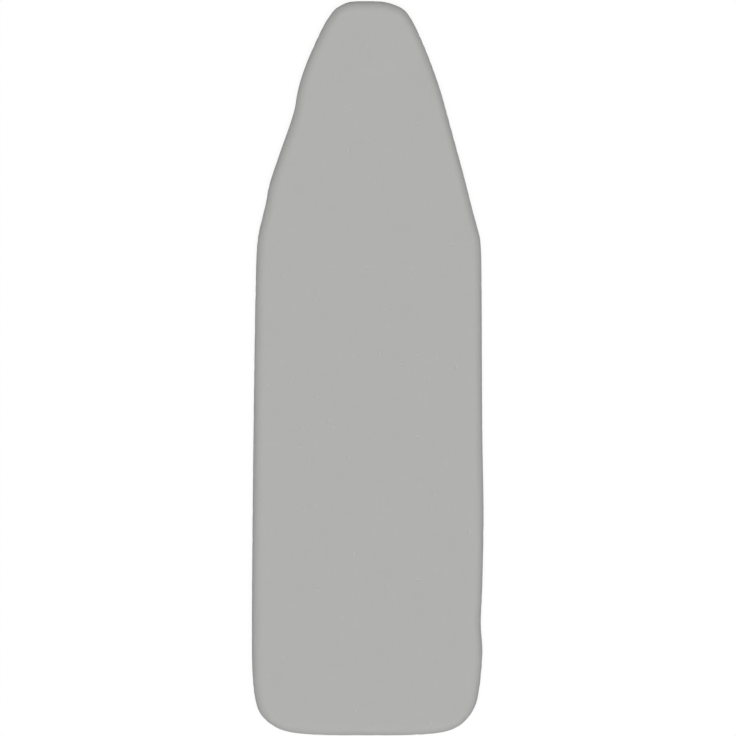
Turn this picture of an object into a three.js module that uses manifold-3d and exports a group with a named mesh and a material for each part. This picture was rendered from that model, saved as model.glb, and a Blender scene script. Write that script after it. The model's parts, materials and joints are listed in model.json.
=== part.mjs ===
// A fitted ironing board cover, in the shape that it holds on its board, lying ironing face up.
// Millimetres. +Y points to the nose, +X to the right, +Z up, and the origin is at floor level
// under the middle of the cover. The board itself isn't part of the model: its place is empty.
import * as THREE from 'three';
import { mergeVertices } from 'three/addons/utils/BufferGeometryUtils.js';
import Module from 'manifold-3d';

const wasm = await Module();
wasm.setup();

// Driving sizes of the cover
const coverLength = 1210;
const coverWidth = 382;
const boardThickness = 15;
const hemReach = 56;
const edgeRadius = 12;
const tuckRadius = 8;

// Cloth, foam and felt
const fabricThickness = 0.8;
const foamThickness = 3;
const feltThickness = 4;
const layerGap = 0.3;

// Binding round the edge of the hem, and the drawcord in it
const tapeThickness = 0.8;
const bindingLap = 10;
const seamClearance = 0.2;
const bindingGap = 28;
const cordDiameter = 2.5;
const cordClearance = 0.3;
const cordBendRadius = 8;
const cordSpacing = 0.3;

// Spring toggle on the two cord ends
const lockDepth = 14;
const lockHeight = 7;
const lockWall = 1.1;
const lockCornerRadius = 2.5;
const lockFloorGap = 0.2;
const lockStandOff = 14;
const lockSlide = 35;
const plungerTravel = 3.5;
const plungerWall = 2.2;
const plungerClearance = 0.15;
const buttonProud = 1.5;
const springLength = 6.5;
const springDiameter = 4;
const springWire = 0.5;
const springCoils = 5;

// Moulded tips of the cord
const tipLength = 14;
const tipWall = 0.7;
const tipBoreDepth = 9;
const tipSpacing = 0.5;
const cordDescent = 12;

// Cross straps
const strapWidth = 25;
const strapThickness = 1;
const patchThickness = 0.9;
const patchLength = 45;
const patchMargin = 1.5;
const patchGap = 0.2;
const strapFlat = 4;
const strapSlope = 12;
const strapHemGap = 0.3;
const tipStrapGap = 26.5;

// Where the two front straps cross, as shares of the cover's length from the tail. The tail strap
// lies in front of the cord's tips.
const noseStrapShare = 0.858;
const shoulderStrapShare = 0.7225;

// The outline: each point is its share of the length from the tail, then of the half width.
// Cloth that is drawn in by its straps and cord is a little wavy, and differs from side to side.
const rightEdgeShares = [
  [0.004, 0.64], [0.013, 0.79], [0.029, 0.889], [0.046, 0.94], [0.075, 0.972], [0.116, 0.99],
  [0.15, 0.976], [0.2, 0.988], [0.3, 1], [0.4, 0.99], [0.525, 0.985], [0.65, 0.979],
  [0.677, 0.968], [0.702, 0.925], [0.73, 0.882], [0.784, 0.792], [0.838, 0.698], [0.8655, 0.652],
  [0.906, 0.567], [0.947, 0.464], [0.974, 0.381], [0.988, 0.314], [0.9945, 0.24], [0.999, 0.14],
];
const leftEdgeShares = [
  [0.004, 0.66], [0.013, 0.817], [0.029, 0.925], [0.046, 0.966], [0.075, 0.992], [0.16, 1],
  [0.266, 0.996], [0.389, 0.988], [0.525, 0.977], [0.64, 0.963], [0.677, 0.949], [0.702, 0.915],
  [0.73, 0.872], [0.743, 0.86], [0.77, 0.81], [0.8246, 0.687], [0.852, 0.633], [0.879, 0.602],
  [0.906, 0.551], [0.947, 0.442], [0.975, 0.35], [0.99, 0.275], [0.9955, 0.215], [0.999, 0.15],
];

// How finely curved things are stepped
const samplesPerSpan = 20;
const longestStep = 62;
const turnPerStep = THREE.MathUtils.degToRad(9.5);
const arcSteps = 4;
const tuckSteps = 3;
const cordSides = 8;
const channelSteps = 4;
const springSides = 5;
const springStepsPerCoil = 8;
const tipSides = 16;
const cutOverrun = 1;

// Heights of the layers, from the floor up
const bindingHeight = cordDiameter + 2 * cordClearance + 2 * tapeThickness;
const channelHeight = bindingHeight / 2;
const gatherThickness = bindingHeight - 2 * (tapeThickness + seamClearance);
const hemUnderside = tapeThickness + seamClearance;
const boardUnderside = lockFloorGap + lockHeight + layerGap;
const feltUnderside = boardUnderside + boardThickness + layerGap;
const foamUnderside = feltUnderside + feltThickness + layerGap;
const fabricUnderside = foamUnderside + foamThickness + layerGap;
const coverHeight = fabricUnderside + fabricThickness;
const edgeCentre = coverHeight - edgeRadius;
const tuckCentre = hemUnderside + tuckRadius;
const channelInset = hemReach - bindingHeight / 2;
const gatherEdgeInset = channelInset - cordDiameter / 2 - cordClearance;

// A point of the outline, from its shares; side is 1 on the right and -1 on the left
function edgePoint([alongShare, acrossShare], side) {
  const x = side * acrossShare * coverWidth / 2;
  return new THREE.Vector3(x, (alongShare - 1 / 2) * coverLength, 0);
}

// The outline runs from the middle of the tail up the right side, round the nose and back
const tailMiddle = edgePoint([0, 0], 1);
const noseMiddle = edgePoint([1, 0], 1);
const rightEdge = rightEdgeShares.map((shares) => edgePoint(shares, 1));
const leftEdge = leftEdgeShares.map((shares) => edgePoint(shares, -1)).reverse();
const outline = new THREE.CatmullRomCurve3(
  [tailMiddle, ...rightEdge, noseMiddle, ...leftEdge], true, 'centripetal',
);

// Fine samples of the outline, each with its place along it and its direction of travel
function sampleOutline() {
  const spans = outline.points.length;
  const count = spans * samplesPerSpan;
  const samples = [];
  for (let i = 0; i < count; i++) {
    const point = outline.getPoint(i / count);
    const tangent = outline.getTangent(i / count);
    const before = samples.at(-1);
    let heading = Math.atan2(tangent.y, tangent.x);
    while (before && heading < before.heading - Math.PI) heading += 2 * Math.PI;
    const along = before ? before.along + point.distanceTo(before.point) : 0;
    samples.push({ point, heading, along });
  }
  return samples;
}
const samples = sampleOutline();
const noseSample = (1 + rightEdge.length) * samplesPerSpan;
const perimeter = samples.at(-1).along + samples.at(-1).point.distanceTo(samples[0].point);

// Heading of the outline averaged over the hem's reach to both sides. A hem that is drawn in by a
// cord lies along this smoother direction, so it never folds over itself at the nose and corners.
function gatheredHeading(sample) {
  let sum = 0;
  let weight = 0;
  for (const lap of [-1, 0, 1]) {
    for (const other of samples) {
      const distance = Math.abs(other.along + lap * perimeter - sample.along);
      if (distance > 2 * hemReach) continue;
      const share = 1 - distance / (2 * hemReach);
      sum += share * (other.heading + lap * 2 * Math.PI);
      weight += share;
    }
  }
  return sum / weight;
}

// The direction into the cover, seen from above, for a heading along the outline
function inwardOf(heading) {
  return new THREE.Vector3(-Math.sin(heading), Math.cos(heading), 0);
}

function makeStation(sample) {
  return {
    point: sample.point,
    inward: inwardOf(sample.heading),
    gathered: inwardOf(gatheredHeading(sample)),
  };
}

// Stations of one side, closer together where the outline turns
function sideStations(first, last) {
  const side = [...samples, samples[0]].slice(first, last + 1);
  const measures = [0];
  for (let i = 1; i < side.length; i++) {
    const step = side[i].point.distanceTo(side[i - 1].point);
    const turn = Math.abs(Math.sin((side[i].heading - side[i - 1].heading) / 2)) * 2;
    measures.push(measures.at(-1) + step / longestStep + turn / turnPerStep);
  }
  const count = Math.round(measures.at(-1));
  const stations = [];
  let at = 0;
  for (let i = 0; i < count; i++) {
    while (measures[at] < measures.at(-1) * i / count) at++;
    stations.push(makeStation(side[at]));
  }
  return stations;
}
const stations = [
  ...sideStations(0, noseSample),
  ...sideStations(noseSample, samples.length),
];

// A place in the cover's section at a station: how far in from the outer edge, and how high.
// Near the edge the way in is square to it, and by the hem it follows the gathers.
function place(station, inset, height) {
  const gather = THREE.MathUtils.smoothstep(inset, edgeRadius, hemReach);
  const inward = station.inward.clone().lerp(station.gathered, gather).normalize();
  const spot = inward.multiplyScalar(inset).add(station.point);
  spot.z = height;
  return spot;
}

function placeRow(station, section) {
  return section.map(([inset, height]) => place(station, inset, height));
}

// A station on the straight run between two others
function stationBetween(a, b, share) {
  return {
    point: a.point.clone().lerp(b.point, share),
    inward: a.inward.clone().lerp(b.inward, share).normalize(),
    gathered: a.gathered.clone().lerp(b.gathered, share).normalize(),
  };
}

// Points of an arc in a section, from one angle to another, in degrees
function arcPoints(inset, height, radius, from, to, steps) {
  const points = [];
  for (let i = 0; i <= steps; i++) {
    const angle = THREE.MathUtils.degToRad(from + (to - from) * i / steps);
    points.push([inset + radius * Math.cos(angle), height + radius * Math.sin(angle)]);
  }
  return points;
}

// Triangles that fill a loop of points, turning the same way as the loop
function fillLoop(points) {
  const normal = new THREE.Vector3();
  points.forEach((p, i) => {
    const q = points[(i + 1) % points.length];
    normal.x += (p.y - q.y) * (p.z + q.z);
    normal.y += (p.z - q.z) * (p.x + q.x);
    normal.z += (p.x - q.x) * (p.y + q.y);
  });
  normal.normalize();
  const level = Math.abs(normal.z) > Math.SQRT1_2;
  const side = new THREE.Vector3(level ? 1 : 0, 0, level ? 0 : 1);
  const across = side.addScaledVector(normal, -side.dot(normal)).normalize();
  const up = normal.clone().cross(across);
  const flat = points.map((p) => new THREE.Vector2(p.dot(across), p.dot(up)));
  return THREE.ShapeUtils.triangulateShape(flat, []).map(([a, b, c]) => {
    const turn = flat[b].clone().sub(flat[a]).cross(flat[c].clone().sub(flat[a]));
    return turn > 0 ? [a, b, c] : [a, c, b];
  });
}

// A closed body through a grid of points. One direction of the grid closes on itself, and the
// loops at the two ends of the other are filled.
function skin(rows, rowsClose) {
  const height = rows.length;
  const width = rows[0].length;
  const at = (i, j) => (i % height) * width + (j % width);
  const triangles = [];
  for (let i = 0; i < (rowsClose ? height : height - 1); i++) {
    for (let j = 0; j < (rowsClose ? width - 1 : width); j++) {
      triangles.push([at(i, j), at(i + 1, j), at(i + 1, j + 1)]);
      triangles.push([at(i, j), at(i + 1, j + 1), at(i, j + 1)]);
    }
  }
  const loopAt = (k) => (rowsClose ? rows.map((_, i) => at(i, k)) : rows[k].map((_, j) => at(k, j)));
  const points = rows.flat();
  const lastLoop = rowsClose ? width - 1 : height - 1;
  for (const end of [0, lastLoop]) {
    const loop = loopAt(end);
    const kept = (end === 0) !== rowsClose;
    for (const [a, b, c] of fillLoop(loop.map((k) => points[k]))) {
      triangles.push(kept ? [loop[a], loop[b], loop[c]] : [loop[a], loop[c], loop[b]]);
    }
  }
  let volume = 0;
  for (const [a, b, c] of triangles) volume += points[a].dot(points[b].clone().cross(points[c]));
  const facing = volume > 0 ? triangles : triangles.map(([a, b, c]) => [a, c, b]);
  const geometry = new THREE.BufferGeometry().setFromPoints(points).setIndex(facing.flat());
  return flatShaded(geometry);
}

function flatShaded(geometry) {
  const loose = geometry.index ? geometry.toNonIndexed() : geometry;
  loose.computeVertexNormals();
  return loose;
}

// Joining and cutting of closed bodies
function solid(geometry) {
  const bare = new THREE.BufferGeometry().setAttribute('position', geometry.getAttribute('position'));
  if (geometry.index) bare.setIndex(geometry.index);
  const merged = mergeVertices(bare, 1e-4);
  return new wasm.Manifold(new wasm.Mesh({
    numProp: 3,
    vertProperties: merged.attributes.position.array,
    triVerts: new Uint32Array(merged.index.array),
  }));
}

function geometryOf(body) {
  const made = body.getMesh();
  const geometry = new THREE.BufferGeometry();
  geometry.setAttribute('position', new THREE.BufferAttribute(made.vertProperties, 3));
  geometry.setIndex(new THREE.BufferAttribute(made.triVerts, 1));
  return flatShaded(geometry);
}

// Finishes of the pieces
const finishes = {
  topCloth: new THREE.MeshStandardMaterial({ color: 0xb1b1af, roughness: 0.85, metalness: 0 }),
  foam: new THREE.MeshStandardMaterial({ color: 0xe6e2d6, roughness: 0.95, metalness: 0 }),
  felt: new THREE.MeshStandardMaterial({ color: 0xd9d6cd, roughness: 1, metalness: 0 }),
  tape: new THREE.MeshStandardMaterial({ color: 0x8f9092, roughness: 0.8, metalness: 0 }),
  cord: new THREE.MeshStandardMaterial({ color: 0xc9c9c6, roughness: 0.75, metalness: 0 }),
  plastic: new THREE.MeshStandardMaterial({ color: 0x2c2d2f, roughness: 0.45, metalness: 0 }),
  steel: new THREE.MeshStandardMaterial({ color: 0xb8babd, roughness: 0.3, metalness: 1 }),
  elastic: new THREE.MeshStandardMaterial({ color: 0x3a3b3d, roughness: 0.85, metalness: 0 }),
  hooks: new THREE.MeshStandardMaterial({ color: 0x232425, roughness: 0.7, metalness: 0 }),
  loops: new THREE.MeshStandardMaterial({ color: 0x303133, roughness: 1, metalness: 0 }),
};

const cover = new THREE.Group();

function addPiece(name, geometry, finish, parent = cover) {
  const piece = new THREE.Mesh(geometry, finish);
  piece.name = name;
  parent.add(piece);
  return piece;
}

// The top cloth: ironing face, rounded edge, side, and the hem that is turned in under the board.
// The hem thickens towards the cord, where the gathers bunch.
function coverFabric() {
  const bunchInset = channelInset - bindingLap - bindingHeight;
  const outside = [
    ...arcPoints(edgeRadius, edgeCentre, edgeRadius, 90, 180, arcSteps),
    ...arcPoints(tuckRadius, tuckCentre, tuckRadius, 180, 270, tuckSteps),
    [gatherEdgeInset, hemUnderside],
  ];
  const inside = [
    [gatherEdgeInset, hemUnderside + gatherThickness],
    [bunchInset, hemUnderside + gatherThickness],
    ...arcPoints(tuckRadius, tuckCentre, tuckRadius - fabricThickness, 270, 180, tuckSteps),
    ...arcPoints(edgeRadius, edgeCentre, edgeRadius - fabricThickness, 180, 90, arcSteps),
  ];
  const section = [...outside, ...inside];
  addPiece('cover_fabric', skin(stations.map((s) => placeRow(s, section)), true), finishes.topCloth);
}

// Foam under the whole ironing face, wrapped down the side of the board
function foamLining() {
  const outer = edgeRadius - fabricThickness - layerGap;
  const inner = outer - foamThickness;
  const end = tuckCentre + layerGap;
  const section = [
    ...arcPoints(edgeRadius, edgeCentre, outer, 90, 180, arcSteps),
    [edgeRadius - outer, end],
    [edgeRadius - inner, end],
    ...arcPoints(edgeRadius, edgeCentre, inner, 180, 90, arcSteps),
  ];
  addPiece('foam_lining', skin(stations.map((s) => placeRow(s, section)), true), finishes.foam);
}

// Felt underlay cut to the board, its rim following the bend of the foam
function feltPad() {
  const radius = edgeRadius - fabricThickness - foamThickness - 2 * layerGap;
  const drop = Math.max(radius - feltThickness, 0);
  const rimAngle = 180 - THREE.MathUtils.radToDeg(Math.asin(drop / radius));
  const rim = arcPoints(edgeRadius, edgeCentre, radius, 90, rimAngle, arcSteps - 1);
  const section = [...rim.slice(0, -1), [rim.at(-1)[0], feltUnderside]];
  addPiece('felt_pad', skin(stations.map((s) => placeRow(s, section)), true), finishes.felt);
}

// The binding and the cord stop short of the middle of the tail, where the cord comes out.
// These are the stations that they run through, from one end of the opening to the other.
function channelStations() {
  const share = (bindingGap / 2) / stations[1].point.distanceTo(stations[0].point);
  const lastSpan = stations[0].point.distanceTo(stations.at(-1).point);
  const lastShare = 1 - (bindingGap / 2) / lastSpan;
  return [
    stationBetween(stations[0], stations[1], share),
    ...stations.slice(1),
    stationBetween(stations.at(-1), stations[0], lastShare),
  ];
}
const channel = channelStations();

// Tape folded round the edge of the hem: a leg above the cloth, a leg below, and the cord's
// channel in the fold
function hemBinding() {
  const outer = bindingHeight / 2;
  const inner = outer - tapeThickness;
  const lapEnd = channelInset - bindingLap;
  const section = [
    [lapEnd, 0],
    ...arcPoints(channelInset, channelHeight, outer, -90, 90, channelSteps),
    [lapEnd, bindingHeight],
    [lapEnd, bindingHeight - tapeThickness],
    ...arcPoints(channelInset, channelHeight, inner, 90, -90, channelSteps),
    [lapEnd, tapeThickness],
  ];
  addPiece('hem_binding', skin(channel.map((s) => placeRow(s, section)), false), finishes.tape);
}

// Toggle sizes that follow from the cord. The two cord ends lie side by side through it.
const cordApart = (cordDiameter + cordSpacing) / 2;
const cordsHalfWidth = cordApart + cordDiameter / 2;
const lockMiddleHeight = lockFloorGap + lockHeight / 2;
const slotHalfWidth = cordsHalfWidth + cordClearance;
const slotHeight = cordDiameter + 2 * cordClearance;
const plungerHoleStart = -slotHalfWidth;
const plungerHoleEnd = slotHalfWidth + plungerTravel;
const plungerInnerEnd = plungerHoleStart - plungerWall;
const bodyMouth = plungerHoleEnd + plungerWall;
const plungerOuterEnd = bodyMouth + plungerTravel + buttonProud;
const springInnerEnd = plungerInnerEnd - cordClearance;
const chamberEnd = springInnerEnd - springLength - cordClearance;
const bodyEnd = chamberEnd - lockWall;
const cavityDepth = lockDepth - 2 * lockWall;
const cavityHeight = lockHeight - 2 * lockWall;

// Places along the tail, counted from the channel's line there
const channelLine = -coverLength / 2 + channelInset;
const bendEnd = channelLine + cordBendRadius;
const lockStart = bendEnd + lockStandOff;
const lockEnd = lockStart + lockDepth;
const cordStraightEnd = lockEnd + lockSlide + cordClearance;
const tipStart = cordStraightEnd + cordDescent;
const tipRadius = cordDiameter / 2 + cordClearance + tipWall;
const tipApart = tipRadius + tipSpacing / 2;
const tipHeight = Math.max(channelHeight, tipRadius + lockFloorGap);

// Route of one cord end from its tip to the binding; side is 1 on the right, -1 on the left
function cordEndRoute(side) {
  const tipInside = tipStart + tipBoreDepth - cordClearance;
  const spots = [
    [tipApart, tipInside, tipHeight],
    [tipApart, tipStart - cordDiameter, tipHeight],
    [(tipApart + cordApart) / 2, (tipStart + cordStraightEnd) / 2, (tipHeight + lockMiddleHeight) / 2],
    [cordApart, cordStraightEnd, lockMiddleHeight],
    [cordApart, lockStart - cordClearance, lockMiddleHeight],
    [cordApart, (lockStart + bendEnd) / 2, (lockMiddleHeight + channelHeight) / 2],
    [cordApart, bendEnd + cordDiameter / 2, channelHeight],
  ];
  const bend = arcPoints(cordApart + cordBendRadius, bendEnd, cordBendRadius, 180, 270, channelSteps);
  for (const [x, y] of bend) spots.push([x, y, channelHeight]);
  return spots.map(([x, y, z]) => new THREE.Vector3(side * x, y, z));
}

// A ring of points round a cord, square to its way in plan, with its first point on the left
function cordRing(centre, way) {
  const left = new THREE.Vector3(-way.y, way.x, 0).normalize();
  const up = way.clone().normalize().cross(left).negate();
  return arcPoints(0, 0, cordDiameter / 2, 0, 360, cordSides).slice(0, -1).map(
    ([across, high]) => centre.clone().addScaledVector(left, across).addScaledVector(up, -high),
  );
}

function cordEndRings(route) {
  return route.map((spot, i) => {
    const before = route[Math.max(i - 1, 0)];
    const after = route[Math.min(i + 1, route.length - 1)];
    return cordRing(spot, after.clone().sub(before));
  });
}

// One cord through the whole binding, out at the tail and side by side through the toggle
function drawcord() {
  const section = arcPoints(channelInset, channelHeight, cordDiameter / 2, 0, 360, cordSides).slice(0, -1);
  const rings = [
    ...cordEndRings(cordEndRoute(1)),
    ...channel.map((s) => placeRow(s, section)),
    ...cordEndRings(cordEndRoute(-1).reverse()),
  ];
  addPiece('drawcord', skin(rings, false), finishes.cord);
}

// Blocks of the toggle, given by their limits along X, their depth along Y and height along Z
function block(fromX, toX, depth, height) {
  const box = new THREE.BoxGeometry(toX - fromX, depth, height);
  return solid(box.translate((fromX + toX) / 2, 0, 0));
}

// A round-ended hole along Y, for both cords
function cordHole(fromX, toX, depth) {
  const radius = slotHeight / 2;
  const shape = new THREE.Shape();
  shape.absarc(fromX + radius, 0, radius, Math.PI / 2, Math.PI * 3 / 2, false);
  shape.absarc(toX - radius, 0, radius, -Math.PI / 2, Math.PI / 2, false);
  const hole = new THREE.ExtrudeGeometry(shape, { depth, bevelEnabled: false, curveSegments: arcSteps * 2 });
  return solid(hole.translate(0, 0, -depth / 2).rotateX(Math.PI / 2));
}

// A block with rounded upright edges
function roundedBlock(fromX, toX, depth, height, radius) {
  const shape = new THREE.Shape();
  const halfDepth = depth / 2;
  shape.absarc(toX - radius, halfDepth - radius, radius, 0, Math.PI / 2, false);
  shape.absarc(fromX + radius, halfDepth - radius, radius, Math.PI / 2, Math.PI, false);
  shape.absarc(fromX + radius, radius - halfDepth, radius, Math.PI, Math.PI * 3 / 2, false);
  shape.absarc(toX - radius, radius - halfDepth, radius, Math.PI * 3 / 2, Math.PI * 2, false);
  const settings = { depth: height, bevelEnabled: false, curveSegments: arcSteps };
  return solid(new THREE.ExtrudeGeometry(shape, settings).translate(0, 0, -height / 2));
}

function cordLock() {
  const lock = new THREE.Group();
  lock.position.set(0, (lockStart + lockEnd) / 2, lockMiddleHeight);
  cover.add(lock);
  const shell = roundedBlock(bodyEnd, bodyMouth, lockDepth, lockHeight, lockCornerRadius);
  const cavity = block(chamberEnd, bodyMouth + cutOverrun, cavityDepth, cavityHeight);
  const slots = cordHole(-slotHalfWidth, slotHalfWidth, lockDepth + 2 * cutOverrun);
  addPiece('cord_lock_body', geometryOf(shell.subtract(cavity).subtract(slots)), finishes.plastic, lock);

  const plungerDepth = cavityDepth - 2 * plungerClearance;
  const plungerHeight = cavityHeight - 2 * plungerClearance;
  const stem = block(plungerInnerEnd, bodyMouth, plungerDepth, plungerHeight);
  const headStart = bodyMouth - plungerWall;
  const head = roundedBlock(headStart, plungerOuterEnd, plungerDepth, plungerHeight, plungerWall / 2);
  const hole = cordHole(plungerHoleStart, plungerHoleEnd, plungerDepth + 2 * cutOverrun);
  addPiece('cord_lock_plunger', geometryOf(stem.add(head).subtract(hole)), finishes.plastic, lock);
  addPiece('cord_lock_spring', lockSpring(), finishes.steel, lock);
}

// The coil spring between the blind end of the toggle and its plunger, along X
function lockSpring() {
  const radius = (springDiameter - springWire) / 2;
  const run = springLength - springWire;
  const count = springCoils * springStepsPerCoil;
  const rise = run / (springCoils * 2 * Math.PI * radius);
  const rings = [];
  for (let i = 0; i <= count; i++) {
    const angle = 2 * Math.PI * i / springStepsPerCoil;
    const out = new THREE.Vector3(0, Math.cos(angle), Math.sin(angle));
    const way = new THREE.Vector3(rise, -Math.sin(angle), Math.cos(angle)).normalize();
    const side = way.clone().cross(out);
    const centre = out.clone().multiplyScalar(radius);
    centre.x = chamberEnd + cordClearance + springWire / 2 + run * i / count;
    rings.push(arcPoints(0, 0, springWire / 2, 0, 360, springSides).slice(0, -1).map(
      ([a, b]) => centre.clone().addScaledVector(out, a).addScaledVector(side, b),
    ));
  }
  return skin(rings, false);
}

// A moulded tip with a blind bore for the cord's end
function cordTips() {
  const bore = cordDiameter / 2 + cordClearance;
  const profile = [
    [0, tipBoreDepth], [bore, tipBoreDepth], [bore, 0], [tipRadius, 0],
    [tipRadius, tipBoreDepth], [tipRadius - tipWall, tipLength], [0, tipLength],
  ].map(([radius, along]) => new THREE.Vector2(radius, along));
  for (const [name, side] of [['cord_end_left', -1], ['cord_end_right', 1]]) {
    const tip = geometryOf(solid(new THREE.LatheGeometry(profile, tipSides)));
    addPiece(name, tip, finishes.plastic).position.set(side * tipApart, tipStart, tipHeight);
  }
}

// The inner edge of the hem, seen from above
const hemEdge = stations.map((station) => place(station, hemReach, channelHeight));

// Where the inner edge of the hem lies at a given place along the cover
function hemEdgeAt(y, side) {
  for (let i = 0; i < hemEdge.length; i++) {
    const a = hemEdge[i];
    const b = hemEdge[(i + 1) % hemEdge.length];
    const crosses = (a.y - y) * (b.y - y) <= 0 && a.y !== b.y;
    if (crosses && Math.sign(a.x + b.x) === side) {
      return THREE.MathUtils.lerp(a.x, b.x, (y - a.y) / (b.y - a.y));
    }
  }
  throw new Error('no hem edge there');
}

// The straight seam of a strap on the hem: where it lies at a place along the cover. It runs
// between the two edges of the strap, clear of any point where the hem bulges inwards between.
function strapSeam(y, side) {
  const low = y - strapWidth / 2;
  const high = y + strapWidth / 2;
  const lowX = hemEdgeAt(low, side);
  const highX = hemEdgeAt(high, side);
  const chordAt = (rowY) => THREE.MathUtils.lerp(lowX, highX, (rowY - low) / strapWidth);
  const between = hemEdge.filter((p) => p.y > low && p.y < high && Math.sign(p.x) === side);
  const bulge = Math.max(0, ...between.map((p) => side * (chordAt(p.y) - p.x)));
  return (rowY) => chordAt(rowY) - side * (bulge + strapHemGap);
}

// A flat strap from its seam on the hem to its free end. It leaves the hem at mid height of the
// binding and settles to its own level in the closure. side is the hem that it is sewn to.
function strapPiece(y, side, reach, level) {
  const seam = strapSeam(y, side);
  const rows = [y - strapWidth / 2, y + strapWidth / 2].map((rowY) => {
    const bends = [
      [seam(rowY), channelHeight],
      [seam(y) - side * strapFlat * 2, channelHeight],
      [seam(y) - side * (strapFlat * 2 + strapSlope), level],
      [seam(y) - side * reach, level],
    ];
    const upper = bends.map(([x, z]) => new THREE.Vector3(x, rowY, z + strapThickness / 2));
    const lower = bends.map(([x, z]) => new THREE.Vector3(x, rowY, z - strapThickness / 2));
    return [...upper, ...lower.reverse()];
  });
  return skin(rows, false);
}

function patch(fromX, toX, y, underside) {
  const box = new THREE.BoxGeometry(Math.abs(toX - fromX), strapWidth - 2 * patchMargin, patchThickness);
  return flatShaded(box.translate((fromX + toX) / 2, y, underside + patchThickness / 2));
}

// A cross strap: a long elastic band from the left hem, closed on a short tab from the right hem
// by a hook patch below and a loop patch above
function crossStrap(name, y) {
  const leftHem = strapSeam(y, -1)(y);
  const rightHem = strapSeam(y, 1)(y);
  const tabClear = strapFlat * 2 + strapSlope + patchMargin;
  const tabReach = tabClear + patchLength + 2 * patchMargin;
  const bandReach = rightHem - leftHem - tabClear;
  const closure = patchThickness + (patchGap + strapThickness) / 2;
  const bandLevel = channelHeight - closure;
  const tabLevel = channelHeight + closure;
  addPiece(`${name}_band`, strapPiece(y, -1, bandReach, bandLevel), finishes.elastic);
  addPiece(`${name}_tab`, strapPiece(y, 1, tabReach, tabLevel), finishes.elastic);
  const from = rightHem - tabClear - patchMargin - patchLength;
  const to = rightHem - tabClear - patchMargin;
  const bandTop = bandLevel + strapThickness / 2;
  const tabUnderside = tabLevel - strapThickness / 2;
  addPiece(`${name}_hook`, patch(from, to, y, bandTop), finishes.hooks);
  addPiece(`${name}_loop`, patch(from, to, y, tabUnderside - patchThickness), finishes.loops);
}

coverFabric();
foamLining();
feltPad();
hemBinding();
drawcord();
cordLock();
cordTips();
crossStrap('nose_strap', (noseStrapShare - 1 / 2) * coverLength);
crossStrap('shoulder_strap', (shoulderStrapShare - 1 / 2) * coverLength);
crossStrap('tail_strap', tipStart + tipLength + tipStrapGap + strapWidth / 2);

export default cover;
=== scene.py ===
# A fitted ironing board cover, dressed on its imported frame. Metres, +Z up, +Y to the nose.
import json
import math

import bmesh
import bpy
import numpy as np
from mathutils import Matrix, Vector
from mathutils.geometry import delaunay_2d_cdt


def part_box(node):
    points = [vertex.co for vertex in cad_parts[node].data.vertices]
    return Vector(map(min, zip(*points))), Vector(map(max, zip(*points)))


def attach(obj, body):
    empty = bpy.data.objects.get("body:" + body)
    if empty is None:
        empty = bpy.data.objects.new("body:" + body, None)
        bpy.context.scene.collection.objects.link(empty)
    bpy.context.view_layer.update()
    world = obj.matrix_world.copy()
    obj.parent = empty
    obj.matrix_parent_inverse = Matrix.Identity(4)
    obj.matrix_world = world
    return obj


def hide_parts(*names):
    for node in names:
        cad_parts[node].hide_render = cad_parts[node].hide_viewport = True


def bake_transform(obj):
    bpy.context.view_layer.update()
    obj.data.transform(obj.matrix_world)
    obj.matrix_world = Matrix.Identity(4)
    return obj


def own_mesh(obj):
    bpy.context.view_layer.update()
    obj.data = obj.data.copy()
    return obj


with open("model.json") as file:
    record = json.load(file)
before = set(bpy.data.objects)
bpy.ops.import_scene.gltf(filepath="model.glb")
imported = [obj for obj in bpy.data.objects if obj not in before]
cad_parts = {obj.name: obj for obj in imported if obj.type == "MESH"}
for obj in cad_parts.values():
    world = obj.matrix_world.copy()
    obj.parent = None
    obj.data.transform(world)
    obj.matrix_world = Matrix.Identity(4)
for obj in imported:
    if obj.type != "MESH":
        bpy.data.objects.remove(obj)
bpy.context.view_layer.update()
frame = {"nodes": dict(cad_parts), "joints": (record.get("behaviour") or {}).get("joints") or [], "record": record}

mm = 0.001

# Section of the cover, in the sizes that its frame is built to
edge_radius = 12 * mm
tuck_radius = 8 * mm
hem_reach = 56 * mm
binding_lap = 10 * mm
binding_gap = 28 * mm
cord_diameter = 2.5 * mm
cord_clearance = 0.3 * mm
cord_bend_radius = 8 * mm
cord_spacing = 0.3 * mm
tip_sleeve = 9 * mm

# Heights, from the frame
top_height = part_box("cover_fabric")[1].z
edge_height = top_height - edge_radius
hem_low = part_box("cover_fabric")[0].z
tuck_height = hem_low + tuck_radius
binding_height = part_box("hem_binding")[1].z
cord_height = binding_height / 2
cord_inset = hem_reach - binding_height / 2
lap_inset = cord_inset - binding_lap
cloth_end_inset = cord_inset - cord_diameter / 2 - cord_clearance

# Real thickness of the cloth, tape and elastic, how far the tape lies inside the frame's binding to
# leave room for its stitches, and how finely the cover is stepped
cloth_thickness = 0.45 * mm
tape_thickness = 0.55 * mm
stitch_room = 0.15 * mm
elastic_thickness = 1 * mm
station_step = 2.6 * mm

# The photograph's frame: the length and width of the picture at the cover's edge, and its middle
picture_width = 1.2124
picture_middle = (0.0004, 0.0003)
lens = 200
sensor = 36


def linear(colour):
    """Red, green and blue as the shaders take them, from the values that a picture stores."""
    return tuple(c / 12.92 if c <= 0.04045 else ((c + 0.055) / 1.055) ** 2.4 for c in colour)


slot_colours = {m["slot"]: linear(m["base_color"]) for m in frame["record"]["materials"]}


# Camera, lamps and floor


def overhead_camera():
    data = bpy.data.cameras.new("overhead")
    data.lens = lens
    data.sensor_width = sensor
    data.clip_end = 50
    camera = bpy.data.objects.new("overhead", data)
    distance = picture_width / 2 / math.tan(math.atan(sensor / 2 / lens))
    camera.location = (*picture_middle, edge_height + distance)
    bpy.context.scene.collection.objects.link(camera)
    bpy.context.scene.camera = camera


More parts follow.
